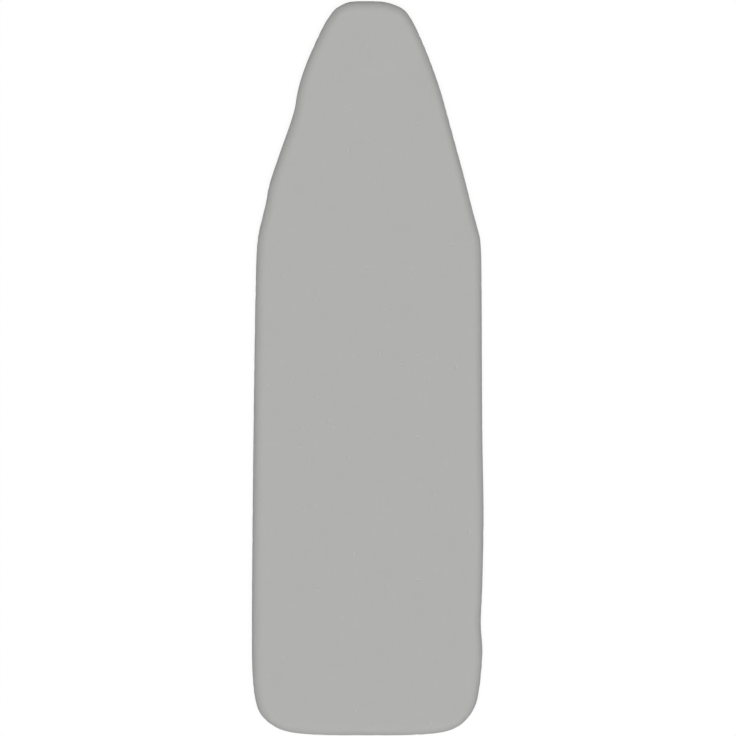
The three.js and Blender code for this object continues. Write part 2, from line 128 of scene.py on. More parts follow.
def wide_light(name, way, power, softness):
    """Even light from a wide patch of the studio's ceiling. way points from the cover to its middle."""
    data = bpy.data.lights.new(name, "SUN")
    data.energy = power
    data.angle = math.radians(softness)
    lamp = bpy.data.objects.new(name, data)
    lamp.location = way
    lamp.rotation_euler = Vector(way).to_track_quat("Z", "Y").to_euler()
    bpy.context.scene.collection.objects.link(lamp)


# Materials


def feed(tree, socket, value):
    """Links a value to an input, or sets it where it is no output of a node."""
    if isinstance(value, bpy.types.NodeSocket):
        tree.links.new(value, socket)
    else:
        socket.default_value = value


def add_node(tree, kind, inputs=None, **settings):
    """A node with its settings, and its inputs linked or set."""
    made = tree.nodes.new(kind)
    for key, value in settings.items():
        setattr(made, key, value)
    for key, value in (inputs or {}).items():
        feed(tree, made.inputs[key], value)
    return made


def calc(tree, operation, a, b=0.0, c=0.0):
    """The result of one sum on sockets or numbers."""
    return add_node(tree, "ShaderNodeMath", {0: a, 1: b, 2: c}, operation=operation).outputs[0]


def blank_material(name):
    material = bpy.data.materials.new(name)
    material.use_nodes = True
    material.node_tree.nodes.clear()
    return material, material.node_tree


def finish_material(tree, colour, tones, height=None, relief=0.0, **values):
    """The shader of a piece: its colour, which tones make lighter or darker, its relief in metres, and
    its other inputs."""
    shader = tree.nodes.new("ShaderNodeBsdfPrincipled")
    feed(tree, shader.inputs["Base Color"], scaled(tree, colour, product(tree, *tones)))
    for key, value in values.items():
        feed(tree, shader.inputs[key.replace("_", " ")], value)
    if height is not None:
        bump = add_node(tree, "ShaderNodeBump", {"Strength": 1.0, "Distance": relief, "Height": height})
        tree.links.new(bump.outputs[0], shader.inputs["Normal"])
    output = tree.nodes.new("ShaderNodeOutputMaterial")
    tree.links.new(shader.outputs[0], output.inputs[0])


def own_places(tree):
    """Places on the piece's own flat cut in metres, and their parts across and along it."""
    uv = add_node(tree, "ShaderNodeUVMap", uv_map="cut")
    split = add_node(tree, "ShaderNodeSeparateXYZ", {0: uv.outputs[0]})
    return uv.outputs[0], split.outputs[0], split.outputs[1]


def object_places(tree):
    """Places on a piece as it lies in the frame, in metres."""
    return add_node(tree, "ShaderNodeTexCoord").outputs["Object"]


def vector_calc(tree, operation, a, b):
    return add_node(tree, "ShaderNodeVectorMath", {0: a, 1: b}, operation=operation).outputs[0]


def scaled(tree, vector, factor):
    """A vector times a factor, or a colour made lighter or darker by it."""
    return add_node(tree, "ShaderNodeVectorMath", {0: vector, "Scale": factor}, operation="SCALE").outputs[0]


noise_range = (0.3, 0.7)


def noise(tree, places, scale=1.0, detail=2.0, stretch=None):
    """Soft random values, nearly all of them in noise_range. stretch is the scale of each direction."""
    if stretch:
        places = vector_calc(tree, "MULTIPLY", places, stretch)
    made = add_node(tree, "ShaderNodeTexNoise", {"Vector": places, "Scale": scale, "Detail": detail})
    return made.outputs[0]


def spread(tree, value, low, high, to_low, to_high):
    """A value brought from one range to another, and held there."""
    made = add_node(tree, "ShaderNodeMapRange", {0: value, 1: low, 2: high, 3: to_low, 4: to_high})
    return made.outputs[0]


def uneven(tree, places, low, high, scale=1.0, detail=2.0, stretch=None):
    """Soft random values between two numbers."""
    return spread(tree, noise(tree, places, scale, detail, stretch), *noise_range, low, high)


def product(tree, first, *others):
    for other in others:
        first = calc(tree, "MULTIPLY", first, other)
    return first


def waves(tree, value, length):
    """Even waves from -1 to 1, a length apart."""
    return calc(tree, "SINE", calc(tree, "MULTIPLY", value, 2 * math.pi / length))


def weave(tree, across, along, pitch, slip=0.0):
    """Height of a plain weave, from 0 between the threads to 1 on top of them. A slip makes a twill."""
    warp = waves(tree, across, 2 * pitch)
    weft = waves(tree, calc(tree, "MULTIPLY_ADD", across, slip, along), 2 * pitch)
    over = spread(tree, calc(tree, "MULTIPLY", warp, weft), -0.25, 0.25, 0.0, 1.0)
    heights = {0: over, 2: calc(tree, "ABSOLUTE", weft), 3: calc(tree, "ABSOLUTE", warp)}
    return add_node(tree, "ShaderNodeMix", heights).outputs[0]


def slubs(tree, places, wide, long):
    """Thick places in the yarn, here and there, and a painted shadow beside each, both from 0 to 1."""
    apart = 5.0
    chance_needed = 0.974
    aside = 5.5 * mm
    full_within, gone_beyond = 0.1 / apart, 0.75 / apart
    per_cell = (1 / (wide * apart), 1 / (long * apart), 0)
    stretched = vector_calc(tree, "MULTIPLY", places, per_cell)
    cells = add_node(
        tree, "ShaderNodeTexVoronoi", {"Vector": stretched, "Scale": 1.0}, voronoi_dimensions="2D")
    chance = add_node(tree, "ShaderNodeSeparateXYZ", {0: cells.outputs["Color"]}).outputs
    chosen = calc(tree, "GREATER_THAN", chance[0], chance_needed)
    turned_aside = add_node(tree, "ShaderNodeCombineXYZ", {
        0: calc(tree, "SUBTRACT", chance[1], 0.5), 1: calc(tree, "SUBTRACT", chance[2], 0.5)})
    shift = vector_calc(tree, "MULTIPLY", turned_aside.outputs[0], tuple(aside * n for n in per_cell))
    from_thick = vector_calc(tree, "SUBTRACT", stretched, cells.outputs["Position"])
    # The painted shadow beside each slub lies a short random way aside from it.
    from_shadow = vector_calc(tree, "SUBTRACT", from_thick, shift)
    off_shadow = add_node(tree, "ShaderNodeVectorMath", {0: from_shadow}, operation="LENGTH").outputs["Value"]
    found = []
    for off in (cells.outputs["Distance"], off_shadow):
        near = spread(tree, off, full_within, gone_beyond, 1.0, 0.0)
        found.append(calc(tree, "MULTIPLY", near, chosen))
    return found


def top_cloth():
    """Plain woven cotton with slightly uneven yarns, a few slubs with a painted shadow beside each, painted shade
    between the threads, and a dull face.
    """
    material, tree = blank_material("woven_cotton_grey")
    places, across, along = own_places(tree)
    height = weave(tree, across, along, pitch=0.46 * mm)
    warp_yarn = uneven(tree, places, low=0.986, high=1.014, stretch=(1900, 28, 1))
    weft_yarn = uneven(tree, places, low=0.986, high=1.014, stretch=(28, 1900, 1))
    mottle = uneven(tree, places, low=0.992, high=1.008, scale=16.0, detail=3)
    warp_slubs = slubs(tree, places, wide=2.1 * mm, long=6 * mm)
    weft_slubs = slubs(tree, places, wide=5.5 * mm, long=1.9 * mm)
    # thick is the slubs, and thin is the painted shadow beside each.
    thick, thin = (calc(tree, "MAXIMUM", a, b) for a, b in zip(warp_slubs, weft_slubs))
    thick_tone = calc(tree, "MULTIPLY_ADD", thick, 0.135, 1.0)
    # Painted shadow: darker beside each slub.
    slub_shadow_tone = calc(tree, "MULTIPLY_ADD", thin, -0.1, 1.0)
    # Painted shade: darker between the threads, where the weave is low.
    shade_between_threads = spread(tree, height, 0.0, 1.0, 0.95, 1.01)
    tones = (warp_yarn, weft_yarn, mottle, thick_tone, slub_shadow_tone, shade_between_threads)
    finish_material(
        tree, slot_colours["top_cloth"], tones,
        height=calc(tree, "MULTIPLY_ADD", thick, 2.0, height), relief=0.05 * mm,
        Roughness=0.85, Specular_IOR_Level=0.25, Sheen_Weight=0.06, Sheen_Roughness=0.5,
    )
    return material


def foam():
    """Open cells of two sizes on pale foam, with painted shade in the cells."""
    material, tree = blank_material("open_cell_foam")
    places = object_places(tree)
    small, large = (
        add_node(tree, "ShaderNodeTexVoronoi", {"Vector": places, "Scale": per_metre}).outputs[0]
        for per_metre in (1150.0, 420.0)
    )
    depth = calc(tree, "MULTIPLY_ADD", large, 0.6, small)
    # Painted shade: darker in the cells, where the relief is low.
    tone = spread(tree, depth, 0.1, 1.0, 0.8, 1.04)
    aged = uneven(tree, places, low=0.96, high=1.03, scale=9.0, detail=3)
    finish_material(
        tree, slot_colours["foam"], (tone, aged), depth, relief=0.35 * mm,
        Roughness=0.95, Specular_IOR_Level=0.15)
    return material


def fibres(tree, places, heading, thin, long):
    """Fibres that lie mostly one way and curl: streaks of noise on bent places."""
    turn = (0, 0, math.radians(heading))
    lying = add_node(tree, "ShaderNodeMapping", {0: places, "Rotation": turn}).outputs[0]
    curl = add_node(tree, "ShaderNodeTexNoise", {"Vector": lying, "Scale": 170.0, "Detail": 1.0})
    bent = vector_calc(tree, "ADD", lying, scaled(tree, curl.outputs[1], 5 * mm))
    return noise(tree, bent, stretch=(1 / long, 1 / thin, 500))


def felt():
    """Needled fibres that curl all ways over each other, with painted shade in the gaps between them, a
    few darker ones, and cloudy where the pad is thinner."""
    material, tree = blank_material("needled_felt")
    places = object_places(tree)
    tangle, *layers = [
        fibres(tree, places, heading, thin=0.24 * mm, long=2.8 * mm) for heading in (8, 52, 97, 141)
    ]
    for layer in layers:
        tangle = calc(tree, "MAXIMUM", tangle, layer)
    clumps = noise(tree, places, scale=130.0, detail=4)
    # Painted shade: darker in the gaps between the fibres on top.
    tone = spread(tree, tangle, 0.5, 0.8, 0.84, 1.07)
    cloudy = spread(tree, clumps, *noise_range, 0.93, 1.05)
    dark_fibre = fibres(tree, places, heading=75, thin=0.25 * mm, long=5 * mm)
    fleck = spread(tree, dark_fibre, 0.76, 0.8, 1.0, 0.6)
    height = calc(tree, "MULTIPLY_ADD", clumps, 0.8, tangle)
    finish_material(
        tree, slot_colours["felt"], (tone, cloudy, fleck), height, relief=0.25 * mm,
        Roughness=1.0, Specular_IOR_Level=0.1, Sheen_Weight=0.15)
    return material


def binding_tape():
    """Narrow twill tape, with painted shade between its threads."""
    material, tree = blank_material("twill_tape")
    places, across, along = own_places(tree)
    height = weave(tree, across, along, pitch=0.42 * mm, slip=0.5)
    yarn = uneven(tree, places, low=0.95, high=1.05, stretch=(1500, 60, 1))
    # Painted shade: darker between the threads, where the twill is low.
    depth = spread(tree, height, 0.0, 1.0, 0.82, 1.04)
    finish_material(
        tree, slot_colours["binding_tape"], (yarn, depth), height, relief=0.08 * mm,
        Roughness=0.8, Specular_IOR_Level=0.3)
    return material


def yarn_material(name, colour, lean, **values):
    """Yarn of many threads: fine lines across its own places, which lean along it, with painted shade between
    them.
    """
    pitch = 0.2 * mm
    material, tree = blank_material(name)
    places, across, along = own_places(tree)
    lines = waves(tree, calc(tree, "MULTIPLY_ADD", along, lean, across), pitch)
    fuzz = uneven(tree, places, low=0.93, high=1.07, scale=2500.0)
    # Painted shade: darker in the grooves between the fine lines, where the relief is low.
    depth = spread(tree, lines, -1.0, 1.0, 0.85, 1.05)
    height = calc(tree, "MULTIPLY_ADD", lines, 0.5, 0.5)
    finish_material(tree, colour, (fuzz, depth), height, relief=0.03 * mm, Roughness=0.6, **values)
    return material


def moulded_plastic():
    """Fine spark texture, with faint scuffs."""
    material, tree = blank_material("moulded_plastic_charcoal")
    places = object_places(tree)
    grain = noise(tree, places, scale=4200.0, detail=3)
    scuffs = noise(tree, places, detail=3, stretch=(3500, 500, 500))
    tone = spread(tree, scuffs, 0.6, 0.8, 1.0, 1.35)
    roughness = spread(tree, grain, *noise_range, 0.38, 0.55)
    finish_material(
        tree, slot_colours["toggle_plastic"], (tone,), grain, relief=0.03 * mm, Roughness=roughness)
    return material


def spring_wire():
    """Drawn wire, with fine lines along it."""
    material, tree = blank_material("drawn_spring_wire")
    lines = noise(tree, own_places(tree)[0], stretch=(9000, 200, 1))
    tone = spread(tree, lines, *noise_range, 0.9, 1.05)
    roughness = spread(tree, lines, *noise_range, 0.22, 0.4)
    finish_material(
        tree, slot_colours["spring_steel"], (tone,), lines, relief=0.008 * mm,
        Metallic=1.0, Roughness=roughness)
    return material


def ribbed_elastic():
    """Knitted covering of the elastic: short stitches that lean one way and the other in each rib, with painted
    shade between them.
    """
    rib = 0.9 * mm
    material, tree = blank_material("knitted_elastic")
    places, across, along = own_places(tree)
    leaning = calc(tree, "ADD", along, calc(tree, "PINGPONG", across, rib))
    stitch = waves(tree, leaning, 1.1 * mm)
    rubber = waves(tree, across, rib)
    height = calc(tree, "MULTIPLY_ADD", rubber, 0.4, stitch)
    fuzz = uneven(tree, places, low=0.85, high=1.2, scale=2200.0)
    # Painted shade: darker in the grooves between the ribs and stitches, where the relief is low.
    depth = spread(tree, height, -1.4, 1.4, 0.7, 1.25)
    finish_material(
        tree, slot_colours["elastic"], (fuzz, depth), height, relief=0.09 * mm,
        Roughness=0.85, Specular_IOR_Level=0.3, Sheen_Weight=0.1)
    return material


def closure_tape(slot):
    """Woven ground of the hook and loop tapes, with painted shade between its threads."""
    material, tree = blank_material(slot + "_black")
    places = object_places(tree)
    split = add_node(tree, "ShaderNodeSeparateXYZ", {0: places})
    height = weave(tree, split.outputs[0], split.outputs[1], pitch=0.55 * mm)
    # Painted shade: darker between the threads, where the weave is low.
    tone = spread(tree, height, 0.0, 1.0, 0.75, 1.15)
    fuzz = uneven(tree, places, low=0.85, high=1.2, scale=1400.0)
    finish_material(
        tree, slot_colours[slot], (tone, fuzz), height, relief=0.06 * mm,
        Roughness=0.7, Specular_IOR_Level=0.35)
    return material


def filament(name, slot, roughness):
    """Fine plastic thread of the hooks or loops: glossier than the ground that it stands in, with a painted sheen
    that makes its colour paler.
    """
    material, tree = blank_material(name)
    # Painted sheen: the tape's own colour made 1.3 to 2.4 times paler.
    tone = uneven(tree, object_places(tree), low=1.3, high=2.4, scale=900.0)
    finish_material(tree, slot_colours[slot], (tone,), Roughness=roughness, Specular_IOR_Level=0.5)
    return material


def floor_material():
    """Plain pale floor. The camera sees it nearly white, and it keeps part of the shadow."""
    material, tree = blank_material("pale_floor")
    diffuse = add_node(tree, "ShaderNodeBsdfDiffuse", {"Color": (0.62, 0.62, 0.62, 1)})
    glow = add_node(tree, "ShaderNodeEmission", {"Strength": 1.11})
    share = calc(tree, "MULTIPLY", seen_as_backdrop(tree), 0.78)
    mixed = add_node(tree, "ShaderNodeMixShader", {0: share, 1: diffuse.outputs[0], 2: glow.outputs[0]})
    output = tree.nodes.new("ShaderNodeOutputMaterial")
    tree.links.new(mixed.outputs[0], output.inputs[0])
    return material


def seen_as_backdrop(tree):
    """1 for what the camera, a reflection or a clear piece sees, and 0 for the light on the object."""
    path = tree.nodes.new("ShaderNodeLightPath")
    first = calc(tree, "MAXIMUM", path.outputs["Is Camera Ray"], path.outputs["Is Glossy Ray"])
    return calc(tree, "MAXIMUM", first, path.outputs["Is Transmission Ray"])


def studio(ambient):
    """White surroundings to look at, which light the object at a lower level."""
    world = bpy.data.worlds.new("studio")
    bpy.context.scene.world = world
    world.use_nodes = True
    tree = world.node_tree
    tree.nodes.clear()
    strength = spread(tree, seen_as_backdrop(tree), 0.0, 1.0, ambient, 1.0)
    background = add_node(tree, "ShaderNodeBackground", {"Color": (1, 1, 1, 1), "Strength": strength})
    output = tree.nodes.new("ShaderNodeOutputWorld")
    tree.links.new(background.outputs[0], output.inputs[0])


def floor():
    half = 15
    corners = [(-half, -half, 0), (half, -half, 0), (half, half, 0), (-half, half, 0)]
    mesh_piece("floor", (corners, [(0, 1, 2, 3)]), floor_material())


# Meshes


def in_the_scene(name, mesh):
    """An object at the origin that holds a mesh."""
    piece = bpy.data.objects.new(name, mesh)
    bpy.context.scene.collection.objects.link(piece)
    return piece


def finished_mesh(mesh, material):
    """A mesh with smooth faces and one material."""
    mesh.polygons.foreach_set("use_smooth", [True] * len(mesh.polygons))
    mesh.materials.clear()
    mesh.materials.append(material)
    return mesh


def mesh_piece(name, shape, material):
    """A smooth piece from its shape: points, faces and, where its weave needs them, flat places."""
    points, faces, *places = shape
    mesh = bpy.data.meshes.new(name)
    mesh.from_pydata([tuple(p) for p in points], [], [tuple(f) for f in faces])
    if places:
        corners = np.zeros(len(mesh.loops), np.int32)
        mesh.loops.foreach_get("vertex_index", corners)
        layer = mesh.uv_layers.new(name="cut")
        layer.uv.foreach_set("vector", np.asarray(places[0], np.float32)[corners].ravel())
    finished_mesh(mesh, material)
    mesh.validate()
    mesh.update()
    return in_the_scene(name, mesh)


def dressed(piece, body, node=None):
    """A piece put on its body, and in place of a node of the frame where it has one."""
    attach(piece, body)
    if node:
        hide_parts(node)
    return piece


def dressed_mesh(name, shape, body, slot, node=None):
    """A piece from its shape, in the material of its slot, on its body and in place of its node."""
    return dressed(mesh_piece(name, shape, materials[slot]), body, node)


def grid_faces(rows, columns, rows_close=False, columns_close=False):
    """Quads of a grid of points that are numbered row by row."""
    i, j = np.meshgrid(
        np.arange(rows if rows_close else rows - 1),
        np.arange(columns if columns_close else columns - 1), indexing="ij",
    )
    below, right = (i + 1) % rows, (j + 1) % columns
    corners = [i * columns + j, below * columns + j, below * columns + right, i * columns + right]
    return np.stack([c.ravel() for c in corners], axis=1)


def closed_tube(rings):
    """Faces of a tube through rings of points, an array of ring by place by coordinate, with ends."""
    count, sides = rings.shape[:2]
    turned = rings.transpose(1, 0, 2).reshape(-1, 3)
    faces = grid_faces(sides, count, rows_close=True).tolist()
    faces.append([k * count for k in range(sides)][::-1])
    faces.append([k * count + count - 1 for k in range(sides)])
    return turned, faces


def frames_along(path):
    """Way, side and up of each point of a path, turning as little as it can."""
    way = np.gradient(path, axis=0)
    way /= np.linalg.norm(way, axis=1)[:, None]
    up = np.zeros_like(path)
    first = np.array([0.0, 0.0, 1.0]) if abs(way[0, 2]) < 0.9 else np.array([1.0, 0.0, 0.0])
    for i, w in enumerate(way):
        before = up[i - 1] if i else first
        up[i] = before - w * (before @ w)
        up[i] /= np.linalg.norm(up[i])
    return way, np.cross(up, way), up


def passed_along(path):
    """How far along a path each of its points is."""
    return np.concatenate([[0], np.cumsum(np.linalg.norm(np.diff(path, axis=0), axis=1))])


def flat_places(across, along):
    """The flat places of a grid of points, from two arrays that spread to its size."""
    return np.stack(np.broadcast_arrays(across, along), axis=2).reshape(-1, 2)


def soft_shares(width):
    """Shares of the neighbours in a soft average over a number of places to both sides."""
    shares = np.hanning(2 * width + 3)[1:-1]
    return shares / shares.sum()


def tube(path, radius, sides):
    """Rings round a path, and each point's place round and along it. The radius may vary along it."""
    _, side, up = frames_along(path)
    radius = np.broadcast_to(radius, len(path))
    angle = 2 * math.pi * np.arange(sides) / sides
    ring = np.cos(angle)[None, :, None] * side[:, None] + np.sin(angle)[None, :, None] * up[:, None]
    points, faces = closed_tube(path[:, None] + ring * radius[:, None, None])
    around = np.abs(np.arange(sides) / sides - 0.5)[:, None] * 2 * math.pi * radius[None]
    return points, faces, flat_places(around, passed_along(path)[None])


def joined(parts):
    """Points, faces and places of several parts as one."""
    points, faces, places = [], [], []
    for p, f, q in parts:
        faces += [[k + len(points) for k in face] for face in f]
        points += [tuple(x) for x in p]
        places += [tuple(x) for x in q]
    return points, faces, places


def even_path(path, step):
    """The same path with points a step apart."""
    path = np.asarray(path, float)
    along_path = passed_along(path)
    at = np.linspace(0, along_path[-1], max(2, round(along_path[-1] / step) + 1))
    return np.stack([np.interp(at, along_path, path[:, k]) for k in range(path.shape[1])], axis=1)


def rounded_path(path, step, reach):
    """A path with its bends rounded over a reach to both sides, its ends kept."""
    fine = even_path(path, step)
    width = max(1, round(reach / step))
    before = 2 * fine[:1] - fine[1:width + 1][::-1]
    after = 2 * fine[-1:] - fine[-width - 1:-1][::-1]
    padded = np.concatenate([before, fine, after])
    shares = soft_shares(width)
    return np.stack([np.convolve(padded[:, k], shares, "valid") for k in range(fine.shape[1])], axis=1)


# The outline, and the way in from it


def between(a, b, t, start, end):
    """The value at t on a straight line from a at start to b at end."""
    return a + (b - a) * (t - start) / (end - start)


def smooth_loop(corners, step):
    """Evenly spaced points of a smooth closed curve through the corners, how far along it each is, its
    length, and how far along it each corner is."""
    per_span = 24
    dense = []
    for i in range(len(corners)):
        p = [corners[(i + k) % len(corners)] for k in (-1, 0, 1, 2)]
        knots = np.cumsum([0] + [np.linalg.norm(b - a) ** 0.5 for a, b in zip(p, p[1:])])
        t = np.linspace(knots[1], knots[2], per_span, endpoint=False)[:, None]
        a = [between(p[k], p[k + 1], t, knots[k], knots[k + 1]) for k in range(3)]
        b = [between(a[k], a[k + 1], t, knots[k], knots[k + 2]) for k in range(2)]
        dense.append(between(b[0], b[1], t, knots[1], knots[2]))
    dense = np.concatenate(dense + [corners[:1]])
    passed = passed_along(dense)
    count = round(passed[-1] / step)
    at = np.arange(count) * passed[-1] / count
    points = np.stack([np.interp(at, passed, dense[:, k]) for k in range(2)], axis=1)
    return points, at, passed[-1], passed[:-1:per_span]


def in_order(corners):
    """Corners of a ring anticlockwise from the tail's middle, or from a hair before it."""
    hair = 0.001
    turn = np.arctan2(corners[:, 0], -corners[:, 1])
    return corners[np.argsort((turn + hair) % (2 * math.pi))]


def cad_ring(height, inner):
    """One of the two rings of the frame's cloth at a height, anticlockwise from the tail's middle."""
    near = 0.01 * mm
    vertices = frame["nodes"]["cover_fabric"].data.vertices
    found = {(round(v.co.x, 6), round(v.co.y, 6)) for v in vertices if abs(v.co.z - height) < near}
    corners = np.array(sorted(found))
    if inner:
        return in_order(corners[off_outline(corners) > edge_radius])
    gaps = np.linalg.norm(corners[:, None] - corners[None], axis=2)
    np.fill_diagonal(gaps, np.inf)
    reach = np.linalg.norm(corners, axis=1)
    return in_order(corners[reach > reach[gaps.argmin(1)]])


def off_outline(corners):
    """How far each corner is from the outline."""
    return np.linalg.norm(corners[:, None] - outline[None], axis=2).min(1)


def turned(ways, angle):
    """Ways seen from above, turned by an angle each."""
    c, s = np.cos(angle), np.sin(angle)
    return np.stack([c * ways[:, 0] - s * ways[:, 1], s * ways[:, 0] + c * ways[:, 1]], axis=1)


def smoothstep(x, start, end):
    """0 before the start, 1 past the end, and a soft rise between them."""
    t = np.clip((x - start) / (end - start), 0, 1)
    return t * t * (3 - 2 * t)


def round_the_loop(values, reach):
    """Values along the outline, averaged over a reach to both sides."""
    width = max(1, round(reach / station_step))
    closed = np.concatenate([values[-width:], values, values[:width]])
    return np.convolve(closed, soft_shares(width), "valid")


outline_corners = cad_ring(edge_height, inner=False)
outline, along, perimeter, corner_along = smooth_loop(outline_corners, station_step)
travel = np.roll(outline, -1, axis=0) - np.roll(outline, 1, axis=0)
travel /= np.linalg.norm(travel, axis=1)[:, None]
inward = np.stack([-travel[:, 1], travel[:, 0]], axis=1)
stations = len(outline)


def hem_lean():
    """How far the way in turns aside by the hem, where the cord draws it along a smoother line."""
    hem_corners = cad_ring(hem_low, inner=True)
    way = hem_corners - outline_corners
    way /= np.linalg.norm(way, axis=1)[:, None]
    square = np.column_stack([
        np.interp(corner_along, along, inward[:, k], period=perimeter) for k in (0, 1)])
    turn = np.arctan2(square[:, 0] * way[:, 1] - square[:, 1] * way[:, 0], (square * way).sum(1))
    share = smoothstep(cloth_end_inset, edge_radius, hem_reach)
    return round_the_loop(np.interp(along, corner_along, turn, period=perimeter) / share, 8 * mm)


lean = hem_lean()


def nose_draw():
    """How far the hem moves at the nose, where the cord draws its two corners into one round line and
    spreads the gathers along it."""
    round_reach, spread_reach = 26 * mm, 40 * mm
    nose_start, nose_full = 0.46, 0.53
    line = outline + turned(inward, lean) * cord_inset
    steps = np.linalg.norm(np.roll(line, -1, axis=0) - line, axis=1)
    length = steps.sum()
    passed = np.concatenate([[0], np.cumsum(steps[:-1])])
    even = np.arange(stations) * length / stations
    eased = np.concatenate([[0], np.cumsum(round_the_loop(steps, spread_reach)[:-1])])
    moved = []
    for values in line.T:
        resampled = np.interp(even, passed, values, period=length)
        rounded = round_the_loop(resampled, round_reach * perimeter / length)
        moved.append(np.interp(eased, even, rounded, period=length))
    at_nose = smoothstep(outline[:, 1], nose_start, nose_full)
    return (np.column_stack(moved) - line) * at_nose[:, None]


drawn = nose_draw()


def placed(inset, height, base_inset=None):
    """Points over all stations at an inset from the edge and a height, which may vary along it."""
    share = smoothstep(inset if base_inset is None else base_inset, edge_radius, hem_reach)
    way = turned(inward, lean * share)
    spot = outline + way * np.broadcast_to(inset, stations)[:, None]
    spot += drawn * np.broadcast_to(share, stations)[:, None]
    return np.column_stack([spot, np.broadcast_to(height, stations)])


def drift(seed, spacing):
    """Smooth random numbers from -1 to 1 along the outline, a new one at each spacing."""
    count = max(4, round(perimeter / spacing))
    knots = np.random.default_rng(seed).uniform(-1, 1, count)
    at = along / perimeter * count
    first = np.floor(at).astype(int)
    share = smoothstep(at - first, 0, 1)
    return knots[first % count] * (1 - share) + knots[(first + 1) % count] * share


def ring_length(inset):
    """Length of each station's piece of the line at an inset."""
    line = placed(inset, 0)
    return np.linalg.norm(np.roll(line, -1, axis=0) - line, axis=1)


# Gathers of the hem


def gathers():
    """The broad and fine waves of the drawn-in hem along the outline, and how tightly it is drawn.
    Where the hem is drawn in tightly, at the nose and corners, its waves are close at the cord."""
    slack_wave, tight_wave = 24 * mm, 15 * mm
    slack_below, tight_above = 0.02, 0.2
    tight = round_the_loop(1 - ring_length(cloth_end_inset) / ring_length(0), 20 * mm)
    wave = between(slack_wave, tight_wave, smoothstep(tight, slack_below, tight_above), 0, 1)
    rate = np.sqrt(np.clip(1 - tight, 0.3, 1)) / wave
    rate *= 1 + 0.46 * drift(11, 70 * mm)
    turns = np.concatenate([[0], np.cumsum(rate[:-1])])
    turns *= round(rate.sum() * station_step) / rate.sum()
    phase = 2 * math.pi * turns + 1.1 * drift(12, 34 * mm)
    strength = 0.62 + 0.38 * drift(13, 46 * mm)
    soft_folds = (np.cos(phase) - 0.24 * np.cos(2 * phase + 0.7 * drift(17, 40 * mm))) / 1.15
    pinched_folds = 2 * np.abs(np.cos(phase / 2)) ** 0.8 - 1.38
    broad = strength * (soft_folds + pinched_folds) / 2
    fine = (0.65 + 0.35 * drift(14, 22 * mm)) * np.sin(2 * phase + 1.9 + 0.9 * drift(15, 26 * mm))
    return broad, fine, np.clip(tight, 0, 1)


broad_wave, fine_wave, tightness = gathers()

# The roll of the cloth over the padded edge: it is broader at the nose and on the left
roll_ease = 1.06
roll_drop = 15.5 * mm
roll_end = top_height - roll_drop
broader_from = np.array([0.9, -0.5])
roll_reach = 16.2 * mm + 1.5 * mm * (inward @ broader_from) + 0.8 * mm * drift(16, 90 * mm)


def arc_rows(inset, height, radius, start, end, steps):
    """Rows of an arc of the section: inset, height, and the way out of the cloth."""
    ways = [(math.cos(a), math.sin(a)) for a in np.radians(np.linspace(start, end, steps + 1))]
    return [(inset + radius * c, height + radius * s, c, s) for c, s in ways]


def roll_rows(inside, steps, end_height=roll_end):
    """Rows of the roll over the padded edge, from the ironing face down to a height. inside is how far
    they lie within the cloth's outer face."""
    reach, drop = roll_reach - inside, roll_drop - inside
    last = math.acos(((end_height - roll_end) / drop) ** (1 / roll_ease))
    rows = []
    for a in np.linspace(0, last, steps + 1):
        down, up = math.sin(a), math.cos(a)
        inset = roll_reach - reach * down ** roll_ease
        out_inset, out_height = -down ** (2 - roll_ease) / reach, up ** (2 - roll_ease) / drop
        size = np.hypot(out_inset, out_height)
        rows.append((inset, roll_end + drop * up ** roll_ease, out_inset / size, out_height / size))
    return rows


def hem_height(inset):
    """Height of the hem's underside where it isn't waved: it rises to the middle of the binding."""
    rise = cord_height - cloth_thickness / 2 - hem_low
    return hem_low + rise * smoothstep(inset, tuck_radius, lap_inset - 8 * mm)


def cloth_rows():
    """The section of the cloth from its ironing face to its cut edge in the binding."""
    band = [(inset * mm, top_height, 0, 1) for inset in (42, 36, 30.5, 26, 22, 19)]
    edge = roll_rows(0, steps=15)
    side = [(0, height, -1, 0) for height in np.linspace(roll_end, tuck_height, 4)[1:-1]]
    tuck = arc_rows(tuck_radius, tuck_height, tuck_radius, start=180, end=270, steps=7)
    hem = [(inset, hem_height(inset), 0, -1) for inset in np.linspace(tuck_radius, cloth_end_inset, 19)[1:]]
    return band + edge + side + tuck + hem


# Rows of the section down to the tuck, where the foam hides the cloth's inner face, and which of them
# that face keeps
hidden_rows = 26
hidden_step = 3

# How far the cloth stands out down its section. Each curve holds pairs in millimetres: how far down
# from where the ironing face starts to bend, and how far out there.
broad_curve = ((12, 0), (19, 0.12), (22, 0.4), (28, 1.05), (42, 1.35), (60, 1.65), (74, 1.35), (79, 0.75))
lifted_curve = ((12, 0), (20, 0.8), (34, 0.8), (60, 0.5), (77, 0))
pull_curve = ((30, 1), (66, 0))
fine_curve = ((44, 0), (60, 0.3), (75, 0.55), (80, 0.35))

# Small unevenness of the edge: how far it stands out in millimetres, all along the outline, and the
# middle and width of the band down the section that it lies in
edge_unevenness = (
    (0.26 * drift(21, 26 * mm), 6, 4),
    (0.16 * drift(22, 13 * mm) * (0.4 + 0.6 * np.abs(drift(25, 70 * mm))), 11.5, 3),
    (0.13 * drift(23, 60 * mm), -6, 9),
    (0.42 * tightness * drift(24, 7 * mm), 9, 3),
)


def on_curve(depth, curve):
    return np.interp(depth, *zip(*curve))


def bell(x, middle, width):
    return np.exp(-(((x - middle) / width) ** 2))


def swell(x, y):
    """Soft unevenness of the padding under the ironing face."""
    hollows = np.sin(21 * x + 1.3) * np.sin(13 * y + 0.4) + np.sin(34 * x - 9 * y + 2.1)
    return 0.11 * mm * (hollows + 0.7 * np.sin(47 * y + 11 * x))


